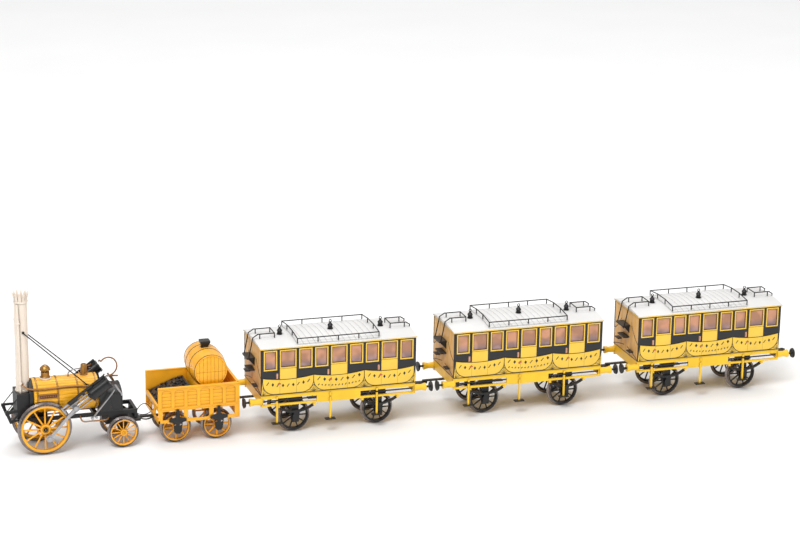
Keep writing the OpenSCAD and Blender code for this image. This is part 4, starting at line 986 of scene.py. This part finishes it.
def staved_barrel():
    """The water barrel: bulging staves, and boarded ends set back inside their rims."""
    low, high = reach("water_barrel", TENDER)
    x, z = (low.x + high.x) / 2, (low.z + high.z) / 2
    half = high.y
    end_r = (high.z - low.z) / 2 - FRAME_BULGE
    body = [(half * (i / 8 - 1), end_r + BARREL_BULGE * (1 - (i / 8 - 1) ** 2)) for i in range(17)]
    lip = end_r - 0.4
    profile = [(-half + 0.5, 0), (-half + 0.5, lip), (-half, lip), *body, (half, lip), (half - 0.5, lip),
               (half - 0.5, 0)]
    count = sizes().staves
    barrel = Form()
    barrel.turned(profile, "Y", (x, 0, z), count * 8, boards(count, 0.035, 0.08))
    ends, split = 8, -0.4
    wide = 2 * lip / ends
    for i in range(ends):
        x0, x1 = -lip + i * wide + 0.04, -lip + (i + 1) * wide - 0.04
        for up in (1, -1):
            rim = []
            for j in range(7):
                u = x0 + (x1 - x0) * j / 6
                rim.append((x + u, z + up * sqrt(max(lip * lip - u * u, 0)) - up * 0.02))
            base = z + split + up * 0.04
            if all(up * (p[1] - base) > 0.15 for p in rim[1:-1]):
                rim = [(u, up * max(up * v, up * base + 0.02)) for u, v in rim]
                barrel.sheet([(x + x1, base), (x + x0, base), *rim], -half + 0.12, -half + 0.55, edge=0.05)
                barrel.sheet([(x + x1, base), (x + x0, base), *rim], half - 0.55, half - 0.12, edge=0.05)
    hoops = Form()
    for y in [(half - 0.5) * side for side in (-1, -1 / 3, 1 / 3, 1)]:
        r = end_r + BARREL_BULGE * (1 - (y / half) ** 2)
        hoops.turned([(y - 0.14, r - 0.1), (y - 0.14, r + 0.08), (y + 0.14, r + 0.08), (y + 0.14, r - 0.1)],
                     "Y", (x, 0, z), 96, closed=True)
    hoops.make("barrel_hoops_iron", TENDER, "tender", matt_black, "black_iron", ["barrel_hoops"])
    barrel.make("staved_barrel", TENDER, "tender", enamelled_boards_across, "yellow_paint", ["water_barrel"],
                sharp=24)


def coal_heap():
    """A heap of broken coal that rises towards the barrel: sharp lumps over a solid core."""
    low, high = reach("coal_load", TENDER)
    slope = [(low.x, low.z + 1.3), (high.x - 4, high.z - 1.2), (high.x, high.z - 0.4)]

    def top(x):
        for (x0, z0), (x1, z1) in zip(slope, slope[1:]):
            if x <= x1:
                return z0 + (z1 - z0) * (x - x0) / (x1 - x0)
        return slope[-1][1]

    heap = Form()
    heap.sheet([(low.x, low.z), (high.x, low.z), (high.x, high.z - 1.1), (high.x - 4, high.z - 2),
                (low.x, low.z + 0.7)], low.y + 0.05, high.y - 0.05)
    chance = random.Random(12)
    for _ in range(sizes().lumps):
        x = chance.uniform(low.x + 0.7, high.x - 0.6)
        y = chance.uniform(low.y + 0.75, high.y - 0.75)
        size = chance.uniform(0.3, 0.7)
        centre = Vector((x, y, top(x) - chance.uniform(0.3, 0.9)))
        spots = []
        for _ in range(9):
            away = Vector([chance.gauss(0, 1) for _ in range(3)]).normalized()
            spots.append(heap.bm.verts.new(centre + away * size * chance.uniform(0.7, 1.0)))
        hull = bmesh.ops.convex_hull(heap.bm, input=spots)
        spare = [g for g in hull["geom_interior"] if isinstance(g, bmesh.types.BMVert)]
        bmesh.ops.delete(heap.bm, geom=spare, context="VERTS")
    heap.make("coal_heap", TENDER, "tender", crushed_coal, "coal", ["coal_load"], sharp=12)


def feed_wires():
    """Thin insulated wires that hang between the locomotive and the tender."""
    start = reach("loco_frame", LOCO)[1].x - 0.2
    end = TENDER.x - LOCO.x + 0.5
    wires = Form()
    for y, z, sag in ((-3, 9.4, -1.3), (-1.9, 9.4, -1.5), (2.6, 9.4, -1.2), (1.6, 10.0, 3.2)):
        points = []
        for i in range(9):
            share = i / 8
            points.append((start + (end - start) * share, y, z + 4 * sag * share * (1 - share)))
        wires.wire(points, 0.17, smooth=True)
    piece = wires.make("feed_wires", LOCO, None, blackened_wire, "dark_wire", ["pickup_wires"])
    z = (FLANGE + 9) * MM
    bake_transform(piece)


# ---------- coaches ----------

BAYS = 3
END_MARGIN = 0.55  # from each end of a coach to its first bay
DOOR_SHARE, LIGHT_SHARE = 0.324, 0.261  # widths of a door and of a side window, in bays
PILLAR = 1.1  # black pillar between a door and a side window
WINDOW_FRAME = 0.5
WINDOW_TALL, DOOR_LIGHT_TALL = 8.4, 7.8
CUP_TALL, CUP_SAG, CUP_CORNER = 7.3, 1.0, 4.8  # the boat-shaped lower panels
DECK_SHARE = 34.2 / 65  # the slatted deck's length over the coach's
DECK_SLATS = 14
CREST_LEFT, CREST_UP = 3.7, 4.75  # the rosette's place, from a bay's middle and the body's foot


class CoachShape:
    """A coach's outline, in millimetres from its datum, worked out from its CAD nodes."""

    def __init__(self, k):
        low, high = reach(f"coach_{k}_body", COACH[k])
        self.length = high.x
        self.side = high.y - 0.15
        self.low, self.high = low.z, high.z
        self.bay = (self.length - 2 * END_MARGIN) / BAYS
        self.bays = [self.length / 2 + (i - 1) * self.bay for i in range(BAYS)]
        self.door = DOOR_SHARE * self.bay / 2
        self.light = LIGHT_SHARE * self.bay / 2
        self.shift = self.door + PILLAR + self.light
        self.window_top = high.z - 0.5
        self.window_low = self.window_top - WINDOW_TALL
        self.door_low = self.window_top - DOOR_LIGHT_TALL
        self.cup_top = self.low + CUP_TALL
        roof = reach(f"coach_{k}_roof", COACH[k])
        self.eaves = roof[1].y
        self.margin = roof[1].x - self.length
        self.deck_up = 0.5
        self.crown = roof[1].z - self.deck_up
        self.cornice = high.z + 0.5
        rise = self.crown - self.cornice
        self.camber_r = self.eaves**2 / (2 * rise) + rise / 2

    def windows(self):
        """The left, right, lower and upper edge of each window frame in a side."""
        found = []
        for x in self.bays:
            found.append((x - self.door, x + self.door, self.door_low, self.window_top))
            for s in (-1, 1):
                mid = x + s * self.shift
                found.append((mid - self.light, mid + self.light, self.window_low, self.window_top))
        return found

    def camber(self, y, up=0.0):
        """The height of the roof, or of a curve that stands above it, at a distance from the middle."""
        r = self.camber_r + up
        return self.crown - self.camber_r + sqrt(r * r - y * y)

    def cup(self, i, inset=0.0):
        """The outline of a bay's boat-shaped lower panel: a sagging top and rounded lower corners."""
        x0 = self.bays[i] - self.bay / 2 + inset + (0.15 if i == 0 else 0)
        x1 = self.bays[i] + self.bay / 2 - inset - (0.15 if i == BAYS - 1 else 0)
        half = (x1 - x0) / 2
        mid = (x0 + x1) / 2
        base = self.low + 0.3 + inset
        top = [(mid + half * (1 - i / 8), self.cup_top - inset - CUP_SAG * (1 - (1 - i / 8) ** 2))
               for i in range(17)]
        corner = CUP_CORNER - inset
        return [*arc((x0 + corner, base + corner), (corner, corner), 180, 270),
                *arc((x1 - corner, base + corner), (corner, corner), 270, 360), *top]


def line(points, width, closed=False):
    """The outline of a thin line drawn through points, or its outer and inner outline if it closes."""
    left, right = [], []
    count = len(points)
    for i, p in enumerate(points):
        before = points[i - 1] if closed or i else p
        after = points[(i + 1) % count] if closed or i < count - 1 else p
        along = Vector((after[0] - before[0], after[1] - before[1])).normalized()
        left.append((p[0] - along.y * width / 2, p[1] + along.x * width / 2))
        right.append((p[0] + along.y * width / 2, p[1] - along.x * width / 2))
    if closed:
        return right, left
    return left + right[::-1]


def coach_sides(k):
    """Both sides of a coach: a black wall with framed windows over three boat-shaped lower panels."""
    shape = CoachShape(k)
    body, place, side = f"coach_{k}", COACH[k], -shape.side
    windows = shape.windows()
    holes = [box_outline(x0 + 0.3, x1 - 0.3, z0 + 0.3, z1 - 0.3) for x0, x1, z0, z1 in windows]
    wall = Form()
    wall.sheet(box_outline(0, shape.length, shape.low, shape.high), side, side + 0.7, holes, edge=0.05)
    wall.mirrored()
    wall.make(f"coach_{k}_side_walls", place, body, printed_black, "black_plastic", [f"coach_{k}_body"])

    lemon = Form()
    for x0, x1, z0, z1 in windows:
        w = WINDOW_FRAME
        lemon.sheet(box_outline(x0, x1, z0, z1), side - 0.15, side + 0.2,
                    [box_outline(x0 + w, x1 - w, z0 + w, z1 - w)], edge=0.07)
    skirt = [(0.1, shape.low + 0.25), (shape.length - 0.1, shape.low + 0.25)]
    for i in reversed(range(BAYS)):
        skirt += shape.cup(i)[2 * (ARC_STEPS + 1) :]  # its sagging top, past the two corners
    lemon.sheet(skirt, side - 0.05, side + 0.2, edge=0.03)
    for i in range(BAYS):
        lemon.sheet(shape.cup(i, 0.12), side - 0.14, side + 0.1, edge=0.06)
        x = shape.bays[i]
        lemon.sheet(box_outline(x - shape.door, x + shape.door, shape.cup_top - 1, shape.door_low - 0.12),
                    side - 0.1, side + 0.1, edge=0.05)
    lemon.mirrored()
    lemon.make(f"coach_{k}_side_panels", place, body, printed_lemon, "coach_yellow")

    lining = Form()
    for i in range(BAYS):
        outer, inner = line(shape.cup(i), 0.22, closed=True)
        lining.sheet(outer, side - 0.16, side, [inner], edge=0.03)
        x = shape.bays[i]
        for s in (-1, 1):
            edge = x + s * (shape.door + 0.06)
            lining.sheet(line([(edge, shape.cup_top - 0.9), (edge, shape.window_top)], 0.12),
                         side - 0.12, side, edge=0.02)
            edge = x + s * shape.door
            lining.sheet(line([(edge, shape.low + 0.5), (edge, shape.cup_top - 1)], 0.07),
                         side - 0.145, side, edge=0.01)
        for s, foot in ((-1, x - shape.bay / 2), (1, x + shape.bay / 2)):
            for reach_up, lean in ((3.4, 0.35), (2.5, 1.2), (1.6, 2.1), (0.95, 3.1)):
                start = (foot - s * 0.1, shape.low + 0.35)
                end = (foot - s * lean, shape.low + 0.35 + reach_up)
                lining.sheet(line([start, end], 0.13), side - 0.1, side, edge=0.02)
            curl = [(foot - s * 4.2 * t, shape.low + 0.5 + 2.6 * (1 - t) ** 1.6) for t in
                    [j / 8 for j in range(9)]]
            lining.sheet(line(curl, 0.12), side - 0.1, side, edge=0.02)
    lining.sheet(line([(0.05, shape.low + 0.14), (shape.length - 0.05, shape.low + 0.14)], 0.26),
                 side - 0.14, side, edge=0.03)
    lining.mirrored()
    lining.make(f"coach_{k}_lining", place, body, printed_black, "black_plastic")

    sashes = Form()
    for x0, x1, z0, z1 in windows:
        w = WINDOW_FRAME
        sashes.sheet(box_outline(x0 + w - 0.05, x1 - w + 0.05, z0 + w - 0.05, z1 - w + 0.05), side + 0.05,
                     side + 0.3, [box_outline(x0 + w + 0.2, x1 - w - 0.2, z0 + w + 0.2, z1 - w - 0.2)],
                     edge=0.03)
    sashes.mirrored()
    sashes.make(f"coach_{k}_sashes", place, body, maroon_sash, "brown_interior")

    handles = Form()
    for x in shape.bays:
        hinge = x - shape.door - PILLAR
        low = shape.low + 6.9
        handles.wire([(hinge, side + 0.1, low), (hinge, side - 0.22, low + 0.25),
                      (hinge, side - 0.28, low + 1.0), (hinge, side - 0.22, low + 1.75),
                      (hinge, side + 0.1, low + 2.0)], 0.26, smooth=True)
        handles.block(hinge - 0.4, hinge + 0.4, side - 0.08, side + 0.1, low - 0.1, low + 2.1, 0.06)
    handles.mirrored()
    handles.make(f"coach_{k}_door_handles", place, body, polished_copper, "copper")


def ornament(k):
    """A curved row of small studs on each lower panel, and a red rosette above it."""
    shape = CoachShape(k)
    side = -shape.side
    studs, dots = Form(), Form()
    for i, x in enumerate(shape.bays):
        rows = [(3.75, 0.95, 9, 0.78, 0.52)]
        if i == 1:
            rows = [(4.4, 0.85, 8, 0.8, 0.6), (2.1, 0.62, 13, 0.42, 0.3)]
        for up, rise, count, tall, wide in rows:
            for j in range(count):
                t = 2 * j / (count - 1) - 1
                cx = x + t * shape.bay * 0.4
                cz = shape.low + up + rise * 1.3 * t * t
                if j % 2:
                    mark = [(cx, cz + tall), (cx + wide, cz), (cx, cz - tall), (cx - wide, cz)]
                else:
                    across, up_by = wide * 0.9, tall * 0.8
                    mark = line([(cx - across, cz - up_by), (cx + across, cz + up_by)], 0.34)
                studs.sheet(mark, side - 0.18, side - 0.05, edge=0.03)
        dots.turned([(side + 0.05, 0), (side + 0.05, 0.5), (side - 0.2, 0.42), (side - 0.26, 0.2),
                     (side - 0.26, 0)], "Y", (x - CREST_LEFT, 0, shape.low + CREST_UP), 18)
        for s in (-1, 1):
            dots.turned([(side + 0.05, 0), (side + 0.05, 0.3), (side - 0.18, 0.22), (side - 0.2, 0)], "Y",
                        (x - CREST_LEFT + s * 0.55, 0, shape.low + CREST_UP - 0.2), 12)
    studs.mirrored()
    studs.make(f"coach_{k}_studs", COACH[k], f"coach_{k}", printed_black, "black_plastic")
    dots.mirrored()
    dots.make(f"coach_{k}_rosettes", COACH[k], f"coach_{k}", red_enamel, "brown_interior")


def coach_ends(k):
    """The boarded ends of a coach, with black lines that sweep across them."""
    shape = CoachShape(k)
    boarding, lines = Form(), Form()
    count = 6
    wide = 2 * (shape.side - 0.05) / count
    for x0, x1 in ((0.0, 0.7), (shape.length - 0.7, shape.length)):
        for i in range(count):
            y = -shape.side + 0.05 + i * wide
            boarding.block(x0, x1, y + 0.02, y + wide - 0.02, shape.low, shape.high, 0.07)
        out = (x0 - 0.1, x0 + 0.05) if x0 < 1 else (x1 - 0.05, x1 + 0.1)
        for s in (-1, 1):
            sweep = [(s * (shape.side - 7.6 * t), shape.cup_top + 6.2 * t**1.6) for t in
                     [j / 10 for j in range(11)]]
            lines.sheet(line(sweep, 0.24), *out, axis="X", edge=0.03)
            low = [(s * (shape.side - 11.5 * t), shape.low + 0.15 + 2.9 * t**0.8) for t in
                   [j / 10 for j in range(11)]]
            lines.sheet(line(low, 0.24), *out, axis="X", edge=0.03)
            lines.block(*out, s * (shape.side - 0.2) - 0.2, s * (shape.side - 0.2) + 0.2, shape.cup_top,
                        shape.high, 0.04)
        lines.block(*out, -shape.side, shape.side, shape.low, shape.low + 0.24, 0.04)
    boarding.make(f"coach_{k}_end_boards", COACH[k], f"coach_{k}", stained_tan, "coach_yellow")
    lines.make(f"coach_{k}_end_lines", COACH[k], f"coach_{k}", printed_black, "black_plastic")


def coach_roof(k):
    """The cambered white roof over its yellow cornice, and the slatted deck that stands on it."""
    shape = CoachShape(k)
    body, place = f"coach_{k}", COACH[k]
    y_steps = [shape.eaves * (i / 12 - 1) for i in range(25)]
    roof = Form()
    roof.sheet([(-shape.eaves, shape.cornice), (shape.eaves, shape.cornice),
                *[(y, shape.camber(y) + 0.02) for y in reversed(y_steps)]],
               -shape.margin, shape.length + shape.margin, axis="X", edge=0.1)
    deck = DECK_SHARE * shape.length
    half = shape.side - 1
    step = deck / DECK_SLATS
    across = [half * (i / 10 - 1) for i in range(21)]
    for i in range(DECK_SLATS):
        x = shape.length / 2 - deck / 2 + i * step
        roof.sheet([*[(y, shape.camber(y) - 0.1) for y in across],
                    *[(y, shape.camber(y, shape.deck_up)) for y in reversed(across)]],
                   x + 0.05, x + step - 0.05, axis="X", edge=0.06)
    roof.make(f"coach_{k}_roof_boards", place, body, roof_white, "white_roof", [f"coach_{k}_roof"])
    cornice = Form()
    cornice.block(-shape.margin, shape.length + shape.margin, -shape.eaves, shape.eaves, shape.high,
                  shape.cornice, 0.12)
    cornice.make(f"coach_{k}_cornice", place, body, printed_lemon, "coach_yellow")


# ---------- the frame's own parts ----------


def kept_nodes():
    """The CAD nodes that are shown as they are, with their finish and the rounding of their edges."""
    kept = {
        "loco_frame": (matt_black, 0.08), "front_bracket": (matt_black, 0.06),
        "boiler_bands": (cast_bronze, 0), "smokebox": (matt_black, 0.2),
        "crosshead_left": (plated_nickel, 0.06),
        "crosshead_right": (plated_nickel, 0.06), "connecting_rod_left": (plated_nickel, 0.08),
        "connecting_rod_right": (plated_nickel, 0.08), "motor": (plated_nickel, 0.1),
        "worm": (plated_nickel, 0), "idler_gear": (cast_bronze, 0),
        "tender_axleguards": (matt_black, 0.1),
        "barrel_filler": (matt_black, 0.1), "tender_drawbar": (matt_black, 0.06),
    }
    for k in COACHES:
        kept[f"coach_{k}_roof_fittings"] = (blackened_wire, 0)
        kept[f"coach_{k}_interior"] = (moulded_brown, 0.2)
        kept[f"coach_{k}_glazing"] = (tinted_glazing, 0)
        kept[f"coach_{k}_underframe"] = (enamelled_lemon, 0.07)
        kept[f"coach_{k}_running_gear"] = (matt_black, 0.07)
    return kept


# ---------- operators ----------


class TRAIN_OT_castings(bpy.types.Operator):
    """Give the frame's own parts their finishes and rounded edges"""

    bl_idname = "train.castings"
    bl_label = "Castings"
    bl_options = {"REGISTER", "UNDO"}

    def execute(self, context):
        for name, (finish, edge) in kept_nodes().items():
            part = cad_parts[name]
            part.data.materials.clear()
            part.data.materials.append(finish())
            if edge:
                part.modifiers.new("Seam", "WELD").merge_threshold = 0.004 * MM
                rounding = part.modifiers.new("Edges", "BEVEL")
                rounding.width = edge * MM
                rounding.segments = 2
                rounding.angle_limit = radians(40)
                rounding.use_clamp_overlap = True
                rounding.harden_normals = False
        return {"FINISHED"}


class TRAIN_OT_wheels(bpy.types.Operator):
    """Make the ten wheelsets"""

    bl_idname = "train.wheels"
    bl_label = "Wheels"
    bl_options = {"REGISTER", "UNDO"}

    def execute(self, context):
        place = wheelset("driving_wheelset", "driving_wheels", LOCO, DRIVING)
        crank_bosses(place)
        axle_gear(place)
        wheelset("trailing_wheelset", "trailing_wheels", LOCO, TRAILING)
        for end in ("front", "rear"):
            wheelset(f"tender_wheelset_{end}", f"tender_{end}_wheels", TENDER, TENDER_WHEEL)
            for k in COACHES:
                wheelset(f"coach_{k}_wheelset_{end}", f"coach_{k}_{end}_wheels", COACH[k], COACH_WHEEL)
        return {"FINISHED"}


class TRAIN_OT_boiler(bpy.types.Operator):
    """Make the planked boiler with its plates, dome and standpipe"""

    bl_idname = "train.boiler"
    bl_label = "Boiler"
    bl_options = {"REGISTER", "UNDO"}

    def execute(self, context):
        boiler_barrel()
        boiler_mountings()
        return {"FINISHED"}


class TRAIN_OT_chimney(bpy.types.Operator):
    """Make the chimney and its crown of leaves"""

    bl_idname = "train.chimney"
    bl_label = "Chimney"
    bl_options = {"REGISTER", "UNDO"}

    def execute(self, context):
        chimney_tube()
        stays_and_exhaust()
        return {"FINISHED"}


class TRAIN_OT_pipework(bpy.types.Operator):
    """Make the copper pipes and the levers"""

    bl_idname = "train.pipework"
    bl_label = "Pipework"
    bl_options = {"REGISTER", "UNDO"}

    def execute(self, context):
        copper_work()
        cylinders()
        firebox_casing()
        return {"FINISHED"}


class TRAIN_OT_tender(bpy.types.Operator):
    """Make the tender's tub, barrel and coal, and the wires that reach it"""

    bl_idname = "train.tender"
    bl_label = "Tender"
    bl_options = {"REGISTER", "UNDO"}

    def execute(self, context):
        tender_tub()
        staved_barrel()
        coal_heap()
        feed_wires()
        return {"FINISHED"}


class TRAIN_OT_coaches(bpy.types.Operator):
    """Make the coaches' sides, ends, ornament and roofs"""

    bl_idname = "train.coaches"
    bl_label = "Coaches"
    bl_options = {"REGISTER", "UNDO"}

    def execute(self, context):
        for k in COACHES:
            coach_sides(k)
            ornament(k)
            coach_ends(k)
            coach_roof(k)
        return {"FINISHED"}


FLOOR = 12.0  # metres, each way
LAMPS = (  # name, place in metres, width in metres, power in watts
    ("Key", (-0.55, -0.75, 1.25), 0.7, 15.0),
    ("Fill", (1.1, -1.0, 0.9), 1.2, 4.5),
    ("Top", (0.2, 0.5, 1.5), 1.2, 10.0),
)
CAMERA_PLACE = (-318.96, -960.32, 365.13)  # millimetres
CAMERA_TURN = (18.103, 16.63, 0.922)  # yaw, pitch and roll, in degrees
CAMERA_LENS = 116.6  # millimetres


def pale_paper():
    """Seamless background paper: matt and near white, with the faintest tooth."""
    return surface("Seamless_background_paper", linear("F6F6F6"), 0.9, patch=80, grain=1.0, depth=0.02,
                   vary=0.01, dust=0.0, seam_shade=0.0)


class TRAIN_OT_stage(bpy.types.Operator):
    """Lay the floor, hang the lights and place the camera"""

    bl_idname = "train.stage"
    bl_label = "Stage"
    bl_options = {"REGISTER", "UNDO"}

    def execute(self, context):
        scene = context.scene
        scene.view_settings.view_transform = "Standard"
        floor = bpy.data.meshes.new("floor")
        x = FLOOR / 2
        floor.from_pydata([(-x, -x, 0), (x, -x, 0), (x, x, 0), (-x, x, 0)], [], [(0, 1, 2, 3)])
        floor.materials.append(pale_paper())
        ground = bpy.data.objects.new("floor", floor)
        scene.collection.objects.link(ground)
        world = bpy.data.worlds.new("Studio")
        scene.world = world
        world.use_nodes = True
        sky = world.node_tree.nodes["Background"]
        sky.inputs["Color"].default_value = (1.0, 1.0, 1.0, 1.0)
        sky.inputs["Strength"].default_value = 0.5
        for name, spot, size, power in LAMPS:
            lamp = bpy.data.lights.new(name, "AREA")
            lamp.size = size
            lamp.energy = power
            holder = bpy.data.objects.new(name, lamp)
            holder.location = spot
            aim = Vector((0, 0, 0.02)) - Vector(spot)
            holder.rotation_mode = "QUATERNION"
            holder.rotation_quaternion = aim.to_track_quat("-Z", "Y")
            scene.collection.objects.link(holder)
        yaw, pitch, roll = (radians(a) for a in CAMERA_TURN)
        forward = Vector((sin(yaw) * cos(pitch), cos(yaw) * cos(pitch), -sin(pitch)))
        level = Vector((cos(yaw), -sin(yaw), 0))
        upright = level.cross(forward)
        right = cos(roll) * level + sin(roll) * upright
        up = -sin(roll) * level + cos(roll) * upright
        lens = bpy.data.cameras.new("Camera")
        lens.lens = CAMERA_LENS
        lens.sensor_width = 36.0
        lens.clip_end = 50.0
        camera = bpy.data.objects.new("Camera", lens)
        turn = Matrix((right, up, -forward)).transposed().to_4x4()
        camera.matrix_world = Matrix.Translation(Vector(CAMERA_PLACE) * MM) @ turn
        scene.collection.objects.link(camera)
        scene.camera = camera
        return {"FINISHED"}


STEPS = (TRAIN_OT_castings, TRAIN_OT_wheels, TRAIN_OT_boiler, TRAIN_OT_chimney, TRAIN_OT_pipework,
         TRAIN_OT_tender, TRAIN_OT_coaches, TRAIN_OT_stage)


class TRAIN_PT_panel(bpy.types.Panel):
    """The train's settings and the steps that make it"""

    bl_label = "Model train"
    bl_idname = "TRAIN_PT_panel"
    bl_space_type = "VIEW_3D"
    bl_region_type = "UI"
    bl_category = "Model train"

    def draw(self, context):
        for group in (context.scene.train_colours, context.scene.train_sizes):
            column = self.layout.column()
            for key in group.bl_rna.properties.keys():
                if key not in ("rna_type", "name"):
                    column.prop(group, key)
        for step in STEPS:
            self.layout.operator(step.bl_idname)


CLASSES = (TrainColours, TrainSizes, *STEPS, TRAIN_PT_panel)


def register():
    for each in CLASSES:
        bpy.utils.register_class(each)
    bpy.types.Scene.train_colours = bpy.props.PointerProperty(type=TrainColours)
    bpy.types.Scene.train_sizes = bpy.props.PointerProperty(type=TrainSizes)


def unregister():
    del bpy.types.Scene.train_sizes
    del bpy.types.Scene.train_colours
    for each in reversed(CLASSES):
        bpy.utils.unregister_class(each)


def main():
    register()
    for step in STEPS:
        group, name = step.bl_idname.split(".")
        getattr(getattr(bpy.ops, group), name)()


if __name__ == "__main__":
    main()
